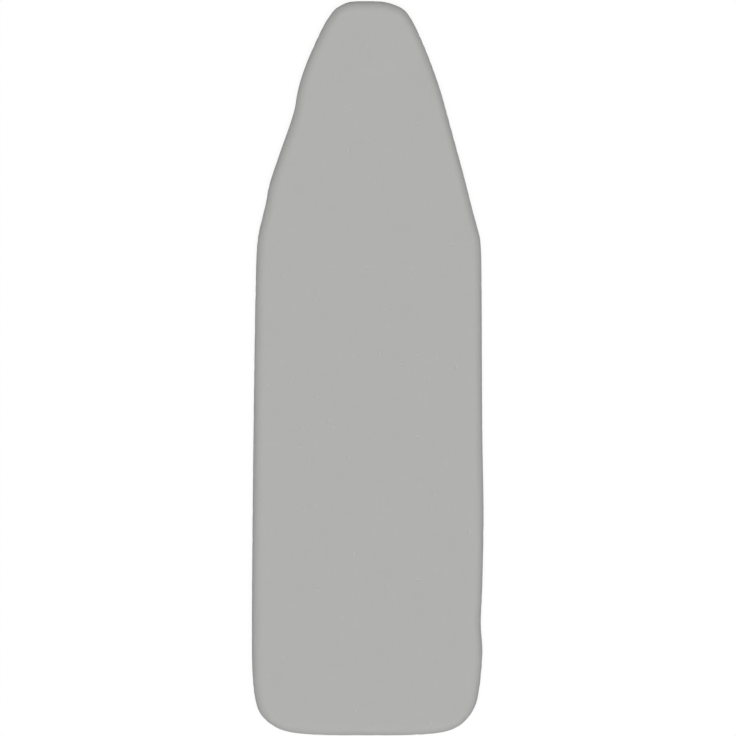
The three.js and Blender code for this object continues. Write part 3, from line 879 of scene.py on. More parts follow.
def ripple(past_edge):
    """How far the cloth stands out at a row, along the outline. past_edge is how far down the section
    the row is, from where the ironing face starts to bend."""
    depth = past_edge / mm
    longer = depth + 8 * drift(18, 20 * mm) * bell(depth, 34, 16)
    pull = on_curve(depth, pull_curve) * (1.3 * np.sqrt(tightness) - 0.45) + 1
    broad = on_curve(longer, broad_curve) * (broad_wave - on_curve(depth, lifted_curve))
    out = broad * np.clip(pull, 0.4, 1.25) + on_curve(depth, fine_curve) * fine_wave
    for proud, middle, width in edge_unevenness:
        out = out + proud * bell(depth, middle, width)
    return out * mm


def fill_ring(ring, spacing):
    """Points spread inside a ring seen from above, and triangles over the ring's points and them."""
    right = ring[ring[:, 0] > 0]
    left = ring[ring[:, 0] < 0]
    right, left = right[np.argsort(right[:, 1])], left[np.argsort(left[:, 1])]
    margin = 0.6 * spacing
    inside = []
    row_step = spacing * math.sin(math.pi / 3)
    rows = np.arange(ring[:, 1].min() + margin, ring[:, 1].max() - margin, row_step)
    for k, y in enumerate(rows):
        low = np.interp(y, left[:, 1], left[:, 0]) + margin
        high = np.interp(y, right[:, 1], right[:, 0]) - margin
        first = math.ceil(low / spacing) + 0.5 * (k % 2)
        inside += [(x * spacing, y) for x in np.arange(first, high / spacing, 1)]
    vertices = [Vector(p) for p in [*ring, *inside]]
    loop = [list(range(len(ring)))]
    _, _, triangles, source, _, _ = delaunay_2d_cdt(vertices, [], loop, 1, 1e-7)
    order = [s[0] for s in source]
    return np.array(inside), [[order[k] for k in t] for t in triangles]


def fill_face(points, faces, first, level, turn, spacing, bumps=1):
    """Adds the face that closes the ring of points from number first, and gives its own points seen from
    above. turn is 1 where it looks up and -1 where it looks down, and bumps is its unevenness."""
    ring = np.array(points[first:first + stations])
    inside, triangles = fill_ring(ring[:, :2], spacing)
    numbers = [*range(first, first + stations), *range(len(points), len(points) + len(inside))]
    points += list(np.column_stack([inside, level + bumps * swell(inside[:, 0], inside[:, 1])]))
    faces += [[numbers[k] for k in t][::turn] for t in triangles]
    return inside


def cloth_shell(rows, past_edge):
    """The cloth's outer face with its ripples, its inner face, and its flat cut, row by row."""
    outer, flat = [], []
    for (inset, height, out_inset, out_height), depth in zip(rows, past_edge):
        lift = ripple(depth)
        line = placed(inset + out_inset * lift, height + out_height * lift, np.mean(inset))
        line[:, 2] += swell(line[:, 0], line[:, 1]) * float(smoothstep(depth, 9 * mm, 0))
        outer.append(line)
        flat.append(outline + inward * (edge_radius - depth))
    outer = np.array(outer)
    down = np.gradient(outer, axis=0)
    round_it = np.roll(outer, -1, axis=1) - np.roll(outer, 1, axis=1)
    out = np.cross(down, round_it)
    out /= np.linalg.norm(out, axis=2)[:, :, None]
    return outer, outer - out * cloth_thickness, np.array(flat)


def cover_cloth():
    """The top cloth as a thin closed skin, the size and area of its flat cut, and its cut edge."""
    rows = cloth_rows()
    section = np.array([(np.mean(inset), np.mean(height)) for inset, height, _, _ in rows])
    past_edge = passed_along(section) + edge_radius - section[0, 0]
    outer, inner, flat = cloth_shell(rows, past_edge)
    kept = [k for k in range(len(rows)) if k >= hidden_rows or k % hidden_step == 0]
    skin = np.concatenate([outer, inner[kept][::-1]])
    points = list(skin.reshape(-1, 3))
    places = list(np.concatenate([flat, flat[kept][::-1]]).reshape(-1, 2))
    faces = grid_faces(len(skin), stations, columns_close=True).tolist()
    last = (len(skin) - 1) * stations
    places += list(fill_face(points, faces, 0, top_height, turn=1, spacing=9 * mm))
    places += list(fill_face(points, faces, last, top_height - cloth_thickness, turn=-1, spacing=40 * mm))
    piece = dressed_mesh("fitted_top_cloth", (points, faces, places), "cover", "top_cloth", "cover_fabric")
    cut = outline - inward * (past_edge[-1] - edge_radius)
    x, y = cut.T
    area = abs(np.dot(x, np.roll(y, -1)) - np.dot(y, np.roll(x, -1))) / 2
    return piece, tuple(np.ptp(cut, axis=0)), area, (outer[-1] + inner[-1]) / 2


# Padding


def pad_body(name, section, spacing, slot, node, bumps):
    """A closed pad from the lines of its section, each (inset, height, unevenness). bumps is the
    unevenness of its two faces."""
    lines = [placed(inset + wander, height) for inset, height, wander in section]
    points = list(np.array(lines).reshape(-1, 3))
    faces = grid_faces(len(lines), stations, columns_close=True).tolist()
    for first, turn in ((0, 1), ((len(lines) - 1) * stations, -1)):
        fill_face(points, faces, first, points[first][2], turn, spacing, bumps)
    return dressed_mesh(name, (points, faces), "cover", slot, node)


def foam_pad():
    """The foam lining, which follows the cloth's folds and is pressed where they go in."""
    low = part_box("foam_lining")[0].z
    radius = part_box("foam_lining")[1].z - edge_height
    felt_gap = 0.3 * mm
    thickness = radius - (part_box("felt_pad")[1].z - edge_height) - felt_gap
    lip = 0.9 * mm
    wander = 0.12 * mm * drift(31, 30 * mm)
    outside, inside = edge_radius - radius, edge_radius - radius + thickness
    side = [(outside, height, -1, 0) for height in np.linspace(roll_end, low + lip, 4)[1:]]
    rows = roll_rows(outside, steps=12) + side
    depths = passed_along(np.array([(np.mean(inset), height) for inset, height, _, _ in rows]))
    section = []
    for (inset, height, out_inset, out_height), depth in zip(rows, depths):
        follow = np.maximum(ripple(depth), -0.7 * thickness)
        lift = follow * float(smoothstep(depth, 2 * mm, 8 * mm))
        section.append((inset + out_inset * lift, height + out_height * lift, 0))
    section += [(outside + lip, low, wander - follow), (inside - lip, low, wander)]
    section += [(inside, low + lip, 0), (inside, low + 3 * mm, 0)]
    section += [(inset, height, 0) for inset, height, _, _ in roll_rows(inside, steps=8)[::-1]]
    pad_body("foam_padding", section, 30 * mm, "foam", "foam_lining", bumps=0)


def felt_underlay():
    """The felt pad, with a roughly cut edge that grows more uneven towards its underside."""
    low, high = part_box("felt_pad")[0].z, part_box("felt_pad")[1].z
    wander = 0.25 * mm * drift(32, 5 * mm) + 0.2 * mm * drift(33, 14 * mm)
    slack = 0.3 * mm
    steps = 6
    rows = roll_rows(edge_radius - (high - edge_height), steps, low)
    section = [(inset, height, slack + wander * k / steps) for k, (inset, height, _, _) in enumerate(rows)]
    rim = rows[-1][0]
    section += [(rim + 0.5 * mm, low, wander), (rim + 4 * mm, low, 0)]
    pad_body("felt_underlay", section, 16 * mm, "felt", "felt_pad", bumps=1)


# Binding, its stitches, and the drawcord


def run_of_stations(gap):
    """Numbers of the stations from one side of an opening in the middle of the tail to the other."""
    return np.flatnonzero((along > gap / 2) & (along < perimeter - gap / 2))


def leg_wave(inset, upper):
    """How far a leg of the binding follows the gathers between its legs."""
    share = float(smoothstep(inset, cord_inset, lap_inset + 2 * mm))
    return (0.16 if upper else 0.05) * mm * broad_wave * share


def hem_tape():
    """The tape folded round the hem. Its section runs along the outside from one cut edge round the
    cord to the other, and back along the inside."""
    outer = cord_height - stitch_room
    leg = np.linspace(lap_inset, cord_inset, 7)[:-1]
    lines = []
    for radius, way in ((outer, 1), (outer - tape_thickness, -1)):
        lines += [(inset, cord_height - way * radius) for inset in leg]
        fold = arc_rows(cord_inset, cord_height, radius, start=-90 * way, end=90 * way, steps=10)
        lines += [row[:2] for row in fold]
        lines += [(inset, cord_height + way * radius) for inset in leg[::-1]]
    run = run_of_stations(binding_gap)
    section = []
    for inset, height in lines:
        near_edge = float(smoothstep(inset, lap_inset + 3 * mm, lap_inset))
        wander = 0.2 * mm * drift(41, 9 * mm) * near_edge
        wave = leg_wave(inset, height > cord_height)
        section.append(placed(inset + wander, height + wave, inset)[run])
    points, faces = closed_tube(np.array(section).transpose(1, 0, 2))
    places = flat_places(passed_along(np.array(lines))[:, None], along[run][None])
    return dressed_mesh("hem_tape", (points, faces, places), "cover", "binding_tape", "hem_binding")


def node_tree(name, sockets):
    """A Geometry Nodes tree with named inputs after its geometry, and its two ends."""
    tree = bpy.data.node_groups.new(name, "GeometryNodeTree")
    tree.interface.new_socket("Geometry", in_out="INPUT", socket_type="NodeSocketGeometry")
    for label, kind in sockets:
        tree.interface.new_socket(label, in_out="INPUT", socket_type="NodeSocket" + kind)
    tree.interface.new_socket("Geometry", in_out="OUTPUT", socket_type="NodeSocketGeometry")
    return tree, tree.nodes.new("NodeGroupInput"), tree.nodes.new("NodeGroupOutput")


def end_tree(tree, start, end, instances):
    """Ends a tree with its copies made real, in the finish that it is given."""
    real = add_node(tree, "GeometryNodeRealizeInstances", {0: instances}).outputs[0]
    finish = {0: real, "Material": start.outputs["Finish"]}
    tree.links.new(add_node(tree, "GeometryNodeSetMaterial", finish).outputs[0], end.inputs[0])


def stitch_row_tree():
    """One shape after another along the edges of a mesh, a pitch apart."""
    tree, start, end = node_tree("stitch_row", [
        ("Pitch", "Float"), ("Shape", "Object"), ("Finish", "Material")])
    line = add_node(tree, "GeometryNodeMeshToCurve", {0: start.outputs[0]})
    spots = add_node(tree, "GeometryNodeResampleCurve", {
        "Curve": line.outputs[0], "Length": start.outputs["Pitch"]}, mode="LENGTH")
    tangent = tree.nodes.new("GeometryNodeInputTangent")
    facing = add_node(tree, "FunctionNodeAlignRotationToVector", {
        "Vector": tangent.outputs[0]}, axis="X", pivot_axis="Z")
    shape = add_node(tree, "GeometryNodeObjectInfo", {0: start.outputs["Shape"]})
    copies = add_node(tree, "GeometryNodeInstanceOnPoints", {
        "Points": spots.outputs[0], "Instance": shape.outputs["Geometry"], "Rotation": facing.outputs[0]})
    end_tree(tree, start, end, copies.outputs[0])
    return tree


def pile_tree():
    """Shapes standing on the points of a mesh, each moved, turned and sized a little at random."""
    tree, start, end = node_tree("pile", [
        ("Jitter", "Float"), ("Turn", "Float"), ("Seed", "Int"), ("Shape", "Object"), ("Finish", "Material")])
    shift = add_node(tree, "FunctionNodeRandomValue", {
        "Min": (-1, -1, 0), "Max": (1, 1, 0), "Seed": start.outputs["Seed"]}, data_type="FLOAT_VECTOR")
    moved = add_node(tree, "ShaderNodeVectorMath", {
        0: shift.outputs[0], "Scale": start.outputs["Jitter"]}, operation="SCALE")
    spots = add_node(tree, "GeometryNodeSetPosition", {0: start.outputs[0], "Offset": moved.outputs[0]})
    turn = add_node(tree, "FunctionNodeRandomValue", {
        2: 0.0, 3: start.outputs["Turn"], "Seed": start.outputs["Seed"]}, data_type="FLOAT")
    angles = add_node(tree, "ShaderNodeCombineXYZ", {2: turn.outputs[1]})
    facing = add_node(tree, "FunctionNodeEulerToRotation", {0: angles.outputs[0]})
    size = add_node(tree, "FunctionNodeRandomValue", {
        2: 0.85, 3: 1.1, "Seed": start.outputs["Seed"]}, data_type="FLOAT")
    shape = add_node(tree, "GeometryNodeObjectInfo", {0: start.outputs["Shape"]})
    copies = add_node(tree, "GeometryNodeInstanceOnPoints", {
        "Points": spots.outputs[0], "Instance": shape.outputs["Geometry"],
        "Rotation": facing.outputs[0], "Scale": size.outputs[1]})
    end_tree(tree, start, end, copies.outputs[0])
    return tree


def as_made(piece):
    """The plain mesh that a piece's modifiers make."""
    return bpy.data.meshes.new_from_object(piece.evaluated_get(bpy.context.evaluated_depsgraph_get()))


def grown(name, body, slot, tree, points, edges, material, **inputs):
    """The plain mesh piece that a tree makes from some points and edges, on its body. Its slot is not used."""
    mesh = bpy.data.meshes.new(name + "_line")
    mesh.from_pydata([tuple(p) for p in points], edges, [])
    maker = in_the_scene(name + "_line", mesh)
    modifier = maker.modifiers.new("nodes", "NODES")
    modifier.node_group = tree
    sockets = {s.name: s.identifier for s in tree.interface.items_tree if s.in_out == "INPUT"}
    for label, value in {"Finish": material, **inputs}.items():
        modifier[sockets[label]] = value
    made = as_made(maker)
    bpy.data.objects.remove(maker)
    return dressed(in_the_scene(name, finished_mesh(made, material)), body)


def shape_object(name, shape):
    """A small shape to be repeated, kept out of the picture."""
    piece = mesh_piece(name, shape, materials["thread"])
    piece.hide_render = True
    return piece


def chain(count, first=0):
    """Edges that join points one after another."""
    return [(first + k, first + k + 1) for k in range(count - 1)]


def thread_path(length, thickness, side, proud, points):
    """Path of one stitch: it comes out of the cloth, lies flat and goes in again. side is 1 on a face
    that looks up and -1 on one that looks down, and proud is its height in thicknesses."""
    x = np.linspace(-0.5, 0.5, points)
    return np.column_stack([x * length, 0 * x, side * thickness * (proud - 5.2 * np.abs(x) ** 3)])


def stitch_shape(name, side):
    """One stitch of sewing thread."""
    thickness = 0.34 * mm
    path = thread_path(2.3 * mm, thickness, side, proud=0.35, points=6)
    return shape_object(name, tube(path, thickness / 2, 5))


def overlock_shape():
    """One turn of thread round a cut edge, which lies across it from face to face, with the needle's
    stitch at its inner end on both faces. The cloth is on its right."""
    reach, thickness = 3.4 * mm, 0.32 * mm
    slant, past_edge = 0.45 * mm, 0.3 * mm
    half = cloth_thickness / 2 + thickness * 0.4
    over = [(-slant, -reach, half), (0, -reach / 2, half), (past_edge, 0, half)]
    under = [(x, y, -half) for x, y, _ in over[::-1]]
    parts = [tube(np.array([*over, (past_edge, half, 0), *under]), thickness / 2, 5)]
    for side in (1, -1):
        path = thread_path(1.5 * mm, thickness, side, proud=0.5, points=4)
        parts.append(tube(path + np.array([0, -reach, side * half]), thickness / 2, 5))
    return shape_object("overlock_shape", joined(parts))


def binding_stitches(tree, shapes):
    """Two rows of stitches through both legs of the binding. They draw into the tape below."""
    run = run_of_stations(binding_gap + 4 * mm)
    tape_face = cord_height - stitch_room
    pieces = []
    for name, height, shape in (
            ("upper", cord_height + tape_face, "stitch_above"),
            ("lower", cord_height - tape_face + 0.2 * mm, "stitch_below")):
        points, edges = [], []
        for inset in (lap_inset + 1.8 * mm, lap_inset + 6.2 * mm):
            edges += chain(len(run), len(points))
            points += list(placed(inset, height + leg_wave(inset, name == "upper"))[run])
        pieces.append(grown(
            f"binding_stitches_{name}", "cover", "binding_tape", tree, points, edges, materials["thread"],
            Pitch=3 * mm, Shape=shapes[shape]))
    return pieces


def edge_overlock(tree, shape, cut_edge):
    """Overlocking of the hem's cut edge where the binding leaves it open for the cord."""
    reach = binding_gap / 2 + 4 * mm
    open_run = [*np.flatnonzero(along > perimeter - reach), *np.flatnonzero(along < reach)]
    points = cut_edge[open_run]
    return grown(
        "edge_overlock", "cover", "top_cloth", tree, points, chain(len(points)), materials["thread"],
        Pitch=1.25 * mm, Shape=shape)


# The drawcord: its run in the binding, and its two ends through the toggle


def joint(name):
    """A joint of the frame."""
    return next(j for j in frame["joints"] if j["name"] == name)


def cord_end_route(side):
    """Route of one cord end from the binding round a bend, through the toggle and to its tip, as in the
    frame. side is 1 for the right end and -1 for the left."""
    low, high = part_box("cord_lock_body")
    tip_low, tip_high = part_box("cord_end_right")
    tip = (tip_low + tip_high) / 2
    lock_height = (low.z + high.z) / 2
    apart = (cord_diameter + cord_spacing) / 2
    channel_y = placed(cord_inset, cord_height)[0, 1]
    bend_end = channel_y + cord_bend_radius
    straight_end = high.y + joint("cord_lock_slide")["range_m"][1] + cord_clearance
    route = [(binding_gap / 2 + 6 * mm, channel_y, cord_height)]
    for angle in np.radians(np.linspace(270, 180, 9)):
        x = apart + cord_bend_radius * (1 + math.cos(angle))
        route.append((x, bend_end + cord_bend_radius * math.sin(angle), cord_height))
    route += [
        (apart, bend_end + cord_diameter / 2, cord_height),
        (apart, (low.y + bend_end) / 2, (lock_height + cord_height) / 2),
        (apart, low.y - cord_clearance, lock_height),
        (apart, straight_end, lock_height),
        ((tip.x + apart) / 2, (tip_low.y + straight_end) / 2, (tip.z + lock_height) / 2),
        (tip.x, tip_low.y - cord_diameter, tip.z),
        (tip.x, tip_low.y + tip_sleeve - cord_clearance, tip.z),
    ]
    return rounded_path([(side * x, y, z) for x, y, z in route], step=0.5 * mm, reach=3 * mm)


def braid(path, radius):
    """Flat strands of a braided cord round a path, half of them turning each way, over and under."""
    strands = 8
    lay = 8.4 * mm
    half_thick, half_wide, step_over = 0.27 * mm, 0.66 * mm, 0.15 * mm
    sides = 8
    way, side, up = frames_along(path)
    along_path = passed_along(path)
    angle = -2 * math.pi * np.arange(sides) / sides
    parts = []
    for k in range(strands):
        way_round = 1 if k % 2 else -1
        turn = 2 * math.pi * (way_round * along_path / lay + (k // 2) / (strands / 2))
        over = np.cos(strands * math.pi * along_path / lay + math.pi * (k % 2))
        out = side * np.cos(turn)[:, None] + up * np.sin(turn)[:, None]
        line = path + out * (radius - half_thick - step_over + step_over * over)[:, None]
        ring_out = np.cos(angle)[None, :, None] * out[:, None] * half_thick
        ring_round = np.sin(angle)[None, :, None] * np.cross(way, out)[:, None] * half_wide
        points, faces = closed_tube(line[:, None] + ring_out - ring_round)
        across = np.sin(angle) * half_wide
        parts.append((points, faces, flat_places(across[:, None], along_path[None])))
    return joined(parts)


def drawcord():
    """The cord's run in the binding, and its two braided ends with the routes that they follow."""
    core_radius = cord_diameter / 2 - 0.55 * mm
    ends = {}
    for name, side in (("right", 1), ("left", -1)):
        path = cord_end_route(side)
        shape = joined([tube(path, core_radius, 8), braid(path, cord_diameter / 2)])
        ends[name] = (dressed_mesh(f"drawcord_end_{name}", shape, "cover", "cord"), path)
    line = placed(cord_inset, cord_height)[run_of_stations(binding_gap)[::2]]
    dressed_mesh("drawcord_run", tube(line, cord_diameter / 2, 12), "cover", "cord", "drawcord")
    return ends


def cord_tip(name, node):
    """A moulded tip: a sleeve with three grip rings that tapers to a rounded end."""
    low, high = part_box(node)
    radius = (high.x - low.x) / 2
    length = high.y - low.y
    bore = cord_diameter / 2 + 0.05 * mm
    ease = 0.2 * mm
    profile = [(0, tip_sleeve), (bore, tip_sleeve), (bore, ease), (bore + ease, 0), (radius - 0.25 * mm, 0)]
    grip_ring = ((0, 0.2), (0, 1.1), (0.3, 1.4), (0.3, 1.8))
    for start in (0.3, 2.2, 4.1):
        profile += [(radius - sunk * mm, (start + rise) * mm) for sunk, rise in grip_ring]
    profile += [(radius, 6.4 * mm), (radius, tip_sleeve)]
    for t in np.linspace(0, 1, 7)[1:]:
        share = (1 - 0.35 * t ** 1.5) * math.sqrt(max(0, 1 - t ** 6))
        profile.append((radius * share, tip_sleeve + (length - tip_sleeve) * t))
    count = 28
    angle = 2 * math.pi * np.arange(count) / count
    rows = [np.column_stack([r * np.cos(angle), np.full(count, y), r * np.sin(angle)]) for r, y in profile]
    points = np.concatenate(rows) + np.array([(low.x + high.x) / 2, low.y, (low.z + high.z) / 2])
    faces = grid_faces(len(profile), count, columns_close=True).tolist()
    piece = dressed_mesh(name, (points, faces), "cover", "toggle_plastic", node)
    tidy_mesh(piece, 0.02 * mm)
    crease(piece, 50)
    return piece


# Toggle


def tidy_mesh(piece, distance):
    """Joins doubled points and turns all faces outwards."""
    work = bmesh.new()
    work.from_mesh(piece.data)
    bmesh.ops.remove_doubles(work, verts=work.verts, dist=distance)
    bmesh.ops.recalc_face_normals(work, faces=work.faces)
    work.to_mesh(piece.data)
    work.free()


def crease(piece, degrees):
    """Sharp edges where the smooth faces of a piece meet at more than an angle."""
    piece.data.set_sharp_from_angle(angle=math.radians(degrees))


def eased_copy(name, node, body, width):
    """A copy of a frame node with its edges eased, as moulded plastic has them."""
    work = bmesh.new()
    work.from_mesh(frame["nodes"][node].data)
    bmesh.ops.remove_doubles(work, verts=work.verts, dist=0.001 * mm)
    bmesh.ops.dissolve_limit(
        work, angle_limit=math.radians(1), verts=work.verts, edges=work.edges, use_dissolve_boundaries=False,
    )
    mesh = bpy.data.meshes.new(name)
    work.to_mesh(mesh)
    work.free()
    piece = in_the_scene(name, mesh)
    modifier = piece.modifiers.new("eased", "BEVEL")
    modifier.width = width
    modifier.segments = 3
    modifier.limit_method = "ANGLE"
    modifier.angle_limit = math.radians(40)
    made = as_made(piece)
    piece.modifiers.clear()
    piece.data = finished_mesh(made, materials["toggle_plastic"])
    crease(piece, 35)
    dressed(piece, body, node)


def grip_ribs(name, node, body, way):
    """Five moulded ribs across an end face of the toggle, for the fingers. way is 1 for the end on the
    right, and -1 for the one on the left."""
    low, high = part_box(node)
    face_x = high.x if way > 0 else low.x
    sunk = 0.12 * mm
    ribs = 5
    pitch = 1.7 * mm
    radius = 0.42 * mm
    end_margin = 0.75 * mm
    end_shape = np.array([(0, 0.1), (0.12, 0.75), (0.4, 1)])
    rise, shares = end_shape[:, 0] * mm, end_shape[:, 1]
    up = np.concatenate([low.z + end_margin + rise, high.z - end_margin - rise[::-1]])
    parts = []
    for k in range(ribs):
        y = (low.y + high.y) / 2 + (k - (ribs - 1) / 2) * pitch
        path = np.column_stack([np.full(len(up), face_x - way * sunk), np.full(len(up), y), up])
        parts.append(tube(path, radius * np.concatenate([shares, shares[::-1]]), 10))
    dressed_mesh(name, joined(parts)[:2], body, "toggle_plastic")


def toggle_spring():
    """The coil spring behind the button, at the length of its part in the frame."""
    low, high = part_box("cord_lock_spring")
    wire = 0.5 * mm
    coils = 5
    steps_per_coil = 22
    radius = (high.y - low.y) / 2 - wire / 2
    turn = np.linspace(0, 2 * math.pi * coils, coils * steps_per_coil + 1)
    x = np.linspace(low.x + wire / 2, high.x - wire / 2, len(turn))
    middle = (low + high) / 2
    path = np.column_stack([x, middle.y + radius * np.cos(turn), middle.z + radius * np.sin(turn)])
    shape = tube(path, wire / 2, 10)
    piece = dressed_mesh("toggle_spring", shape, "cord_lock", "spring_steel", "cord_lock_spring")
    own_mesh(piece)


# Straps

# Height of the middle of a strap's sewn end, on top of the binding
seam_level = cord_height * 2 - stitch_room + elastic_thickness / 2 + 0.3 * mm


def strap_edges(node, side):
    """The two edges of a frame strap: the place of each along the cover, and its bends from the hem to
    the free end as x and the height of the strap's middle."""
    corners = {}
    for v in frame["nodes"][node].data.vertices:
        corners.setdefault(round(v.co.y, 5), {}).setdefault(round(v.co.x, 5), set()).add(round(v.co.z, 6))
    edges = []
    for y in sorted(corners):
        bends = sorted((x, (min(z) + max(z)) / 2) for x, z in corners[y].items())
        edges.append((y, bends[::-1] if side > 0 else bends))
    return edges


def elastic_section():
    """Section of ribbed elastic, over its upper face and back under its lower one: shares of its half
    width, and heights."""
    points = 46
    ribs = 9
    share = np.linspace(-1, 1, points)
    face = elastic_thickness / 2 * (0.82 + 0.18 * np.cos(math.pi * ribs * (share + 1) + math.pi))
    face = face * np.sqrt(np.clip(1 - np.abs(share) ** 26, 0.05, 1))
    face[[0, -1]] = 0.1 * elastic_thickness
    return np.concatenate([share, share[::-1]]), np.concatenate([face, -face[::-1]])


def strap_body(name, node, side, body):
    """Ribbed elastic from its sewn end on top of the binding to its cut end. side is the hem that it is
    sewn to: -1 on the left, 1 on the right. Gives its seam: x, place along the cover and slant."""
    (near_y, near_bends), (far_y, far_bends) = strap_edges(node, side)
    half = (far_y - near_y) / 2
    seam_x, seam_y = (near_bends[0][0] + far_bends[0][0]) / 2, (near_y + far_y) / 2
    slant = (far_bends[0][0] - near_bends[0][0]) / (far_y - near_y)
    root = [
        (-11, seam_level), (-4.5, seam_level), (-1.6, seam_level - 0.9 * mm), (0.8, seam_level - 2.1 * mm),
        (3.4, cord_height + 0.1 * mm), (8, cord_height),
    ]
    path = [(seam_x - side * inset * mm, height) for inset, height in root] + near_bends[-2:]
    path = rounded_path(path, step=1 * mm, reach=4 * mm)
    along_strap = passed_along(path)
    way = np.gradient(path, axis=0)
    way /= np.linalg.norm(way, axis=1)[:, None]
    up = -side * np.column_stack([-way[:, 1], way[:, 0]])
    slant_share = smoothstep(np.abs(path[:, 0] - seam_x), 9 * mm, 2 * mm)
    slant_share = np.where((path[:, 0] - seam_x) * side > 0, 1, slant_share)
    wander = 0.125 * mm * np.sin(along_strap * 120 + seam_y * 40)
    shares, heights = (values[::side] for values in elastic_section())
    rings = []
    for share, height in zip(shares, heights):
        x = path[:, 0] + up[:, 0] * height + slant * share * half * slant_share
        rings.append(np.column_stack([x, seam_y + share * half + wander, path[:, 1] + up[:, 1] * height]))
    points, faces = closed_tube(np.array(rings).transpose(1, 0, 2))
    places = flat_places((shares * half)[:, None], along_strap[None])
    piece = mesh_piece(name, (points, faces, places), materials["elastic"])
    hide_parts(node)
    if body == "cover":
        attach(piece, "cover")
    else:
        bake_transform(piece)
    return seam_x, seam_y, slant


def patch_body(name, node, body, slot, upper):
    """Ground of a hook or loop patch, with rounded corners, and the height that its pile stands on.
    upper says that the pile hangs down."""
    low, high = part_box(node)
    ground = 0.4 * mm
    radius = 2 * mm
    ease = 0.1 * mm
    eased_share = 1 - 1 / 120
    corners = []
    for x, y, start in ((high.x, high.y, 0), (low.x, high.y, 90), (low.x, low.y, 180), (high.x, low.y, 270)):
        cx = x - radius if start in (0, 270) else x + radius
        cy = y - radius if start in (0, 90) else y + radius
        for a in np.radians(np.linspace(start, start + 90, 6)):
            corners.append((cx + radius * math.cos(a), cy + radius * math.sin(a)))
    corners = np.array(corners)
    middle = np.array([(low.x + high.x) / 2, (low.y + high.y) / 2])
    bottom, top = (high.z - ground, high.z) if upper else (low.z, low.z + ground)
    rows = []
    for z, share in ((top, eased_share), (top - ease, 1), (bottom + ease, 1), (bottom, eased_share)):
        rows.append(np.column_stack([middle + (corners - middle) * share, np.full(len(corners), z)]))
    count = len(corners)
    faces = grid_faces(len(rows), count, columns_close=True).tolist()
    faces += [list(range(count)), list(range(3 * count, 4 * count))[::-1]]
    crease(dressed_mesh(name, (np.concatenate(rows), faces), body, slot, node), 40)
    return bottom if upper else top


def pile(name, node, body, slot, tree, shape, spacing, level, **inputs):
    """Hooks or loops all over a patch, inside its stitches."""
    low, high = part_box(node)
    margin = 2 * mm
    xs = np.arange(low.x + margin, high.x - margin, spacing)
    ys = np.arange(low.y + margin, high.y - margin, spacing)
    points = [(x + spacing / 2 * (k % 2), y, level) for k, y in enumerate(ys) for x in xs]
    points = [p for p in points if p[0] < high.x - margin]
    finish = materials[slot + "_filament"]
    grown(name, body, slot, tree, points, [], finish, Shape=shape, Turn=2 * math.pi, **inputs)


def hook_shape():
    """A woven-in hook: a stem that bends over."""
    height, thickness, bend = 0.46 * mm, 0.15 * mm, 0.17 * mm
    rise = height - thickness / 2 - bend
    path = [(0, 0, -0.05 * mm), (0, 0, rise)]
    path += [(bend * (1 - math.cos(a)), 0, rise + bend * math.sin(a)) for a in np.radians([45, 90, 135, 190])]
    return shape_object("hook_shape", tube(np.array(path, float), thickness / 2, 4))


def loop_shape():
    """A brushed loop that hangs down from its ground."""
    height, thickness, half = 0.42 * mm, 0.09 * mm, 0.42 * mm
    drop = height - thickness / 2
    angles = np.radians(np.linspace(0, 180, 8))
    path = [(half * math.cos(a), 0.4 * half * math.sin(2 * a), -drop * math.sin(a)) for a in angles]
    return shape_object("loop_shape", tube(np.array(path, float), thickness / 2, 3))


def box_rows(low, high, height):
    """Four straight rows of stitches inside a patch's edge at a height, as points and edges."""
    margin = 1.1 * mm
    x0, x1, y0, y1 = low.x + margin, high.x - margin, low.y + margin, high.y - margin
    corners = [(x0, y0), (x1, y0), (x1, y1), (x0, y1)]
    points, edges = [], []
    for start, end in zip(corners, corners[1:] + corners[:1]):
        edges.append((len(points), len(points) + 1))
        points += [(*start, height), (*end, height)]
    return points, edges


def seam_rows(x, y, slant, side, height):
    """Two rows of stitches across a strap's sewn end at a height, as points and edges."""
    points, edges = [], []
    across = np.linspace(-10.5, 10.5, 22) * mm
    for inset in (5.5 * mm, 8.5 * mm):
        edges += chain(len(across), len(points))
        points += [(x + side * inset + slant * w, y + w, height) for w in across]
    return points, edges


def dark_rows(name, body, tree, shape, rows):
    """Rows of the straps' dark stitches."""
    grown(name, body, "elastic", tree, *rows, materials["thread_dark"], Pitch=2.4 * mm, Shape=shape)


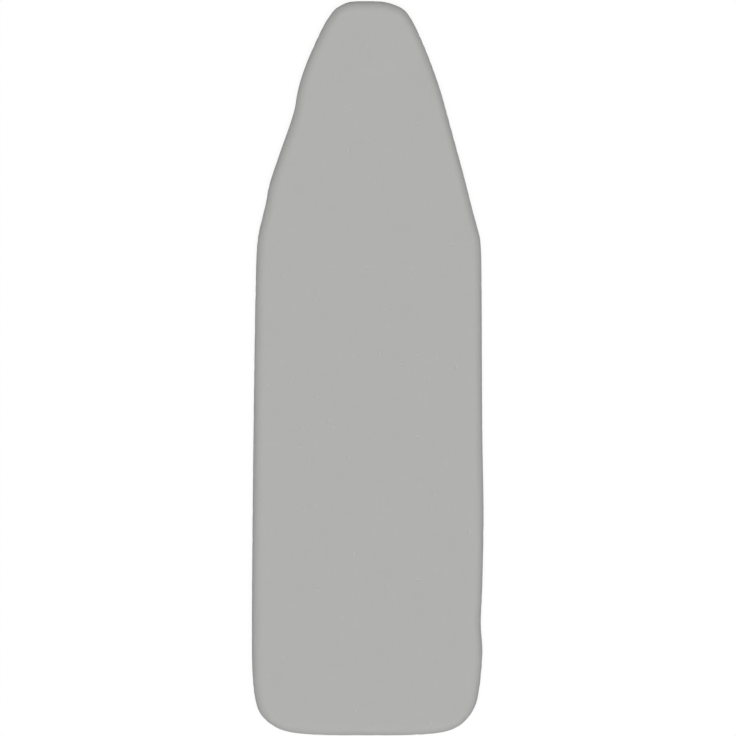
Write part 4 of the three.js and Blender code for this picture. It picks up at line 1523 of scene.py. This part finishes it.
def strap(name, stitch_tree, pile_nodes, shapes):
    """A closed cross strap: its band, tab, patches and their stitches."""
    seams = (
        ("band", -1, strap_body(f"{name}_elastic", f"{name}_band", -1, name)),
        ("tab", 1, strap_body(f"{name}_short_elastic", f"{name}_tab", 1, "cover")),
    )
    hooks_from = patch_body(f"{name}_hook_ground", f"{name}_hook", name, "hook_tape", upper=False)
    loops_from = patch_body(f"{name}_loop_ground", f"{name}_loop", "cover", "loop_tape", upper=True)
    pile(
        f"{name}_hooks", f"{name}_hook", name, "hook_tape", pile_nodes, shapes["hook"],
        spacing=1.35 * mm, level=hooks_from, Seed=5, Jitter=0.12 * mm)
    pile(
        f"{name}_loops", f"{name}_loop", "cover", "loop_tape", pile_nodes, shapes["loop"],
        spacing=1.0 * mm, level=loops_from, Seed=6, Jitter=0.3 * mm)
    hook_box, loop_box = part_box(f"{name}_hook"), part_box(f"{name}_loop")
    elastic_face = 0.95 * mm
    for part, body, box, above, below in (
            ("band", name, hook_box, hooks_from, hook_box[0].z - elastic_face),
            ("tab", "cover", loop_box, loop_box[1].z + elastic_face, loops_from)):
        for face, height in (("above", above), ("below", below)):
            rows = box_rows(*box, height)
            dark_rows(f"{name}_{part}_stitches_{face}", body, stitch_tree, shapes[f"stitch_{face}"], rows)
    for part, side, (x, y, slant) in seams:
        for face, height in (("above", seam_level + 0.45 * mm), ("below", stitch_room + 0.14 * mm)):
            rows = seam_rows(x, y, slant, side, height)
            dark_rows(f"{name}_{part}_seam_{face}", "cover", stitch_tree, shapes[f"stitch_{face}"], rows)


overhead_camera()
wide_light("key", way=(0.03, -0.16, 1), power=2.84, softness=55)
studio(ambient=0.11)

thread_grey = linear((0.66, 0.66, 0.65))
thread_charcoal = linear((0.2, 0.205, 0.21))
materials = {
    "top_cloth": top_cloth(),
    "foam": foam(),
    "felt": felt(),
    "binding_tape": binding_tape(),
    "cord": yarn_material("braided_cord", slot_colours["cord"], lean=0.15, Sheen_Weight=0.1),
    "toggle_plastic": moulded_plastic(),
    "spring_steel": spring_wire(),
    "elastic": ribbed_elastic(),
    "hook_tape": closure_tape("hook_tape"),
    "loop_tape": closure_tape("loop_tape"),
    "hook_tape_filament": filament("hook_filament", "hook_tape", roughness=0.35),
    "loop_tape_filament": filament("loop_filament", "loop_tape", roughness=0.6),
    "thread": yarn_material("sewing_thread_grey", thread_grey, lean=0.8),
    "thread_dark": yarn_material("sewing_thread_dark", thread_charcoal, lean=0.8),
}

floor()
cord_ends = drawcord()
tips = {name: cord_tip(f"cord_tip_{name}", f"cord_end_{name}") for name in ("right", "left")}

cloth, cut_size, cut_area, cut_edge = cover_cloth()
foam_pad()
felt_underlay()
tape = hem_tape()
stitch_tree = stitch_row_tree()
pile_nodes = pile_tree()
shapes = {
    "stitch_above": stitch_shape("stitch_above", side=1),
    "stitch_below": stitch_shape("stitch_below", side=-1),
    "overlock": overlock_shape(),
    "hook": hook_shape(),
    "loop": loop_shape(),
}
binding_rows = binding_stitches(stitch_tree, shapes)
overlock = edge_overlock(stitch_tree, shapes["overlock"], cut_edge)
eased_copy("toggle_housing", "cord_lock_body", "cord_lock", 0.4 * mm)
eased_copy("toggle_button", "cord_lock_plunger", "lock_plunger", 0.3 * mm)
grip_ribs("toggle_housing_ribs", "cord_lock_body", "cord_lock", way=-1)
grip_ribs("toggle_button_ribs", "cord_lock_plunger", "lock_plunger", way=1)
toggle_spring()
for strap_name in ("nose_strap", "shoulder_strap", "tail_strap"):
    strap(strap_name, stitch_tree, pile_nodes, shapes)
for shape in shapes.values():
    bpy.data.objects.remove(shape)

bpy.context.scene.view_settings.view_transform = "Standard"
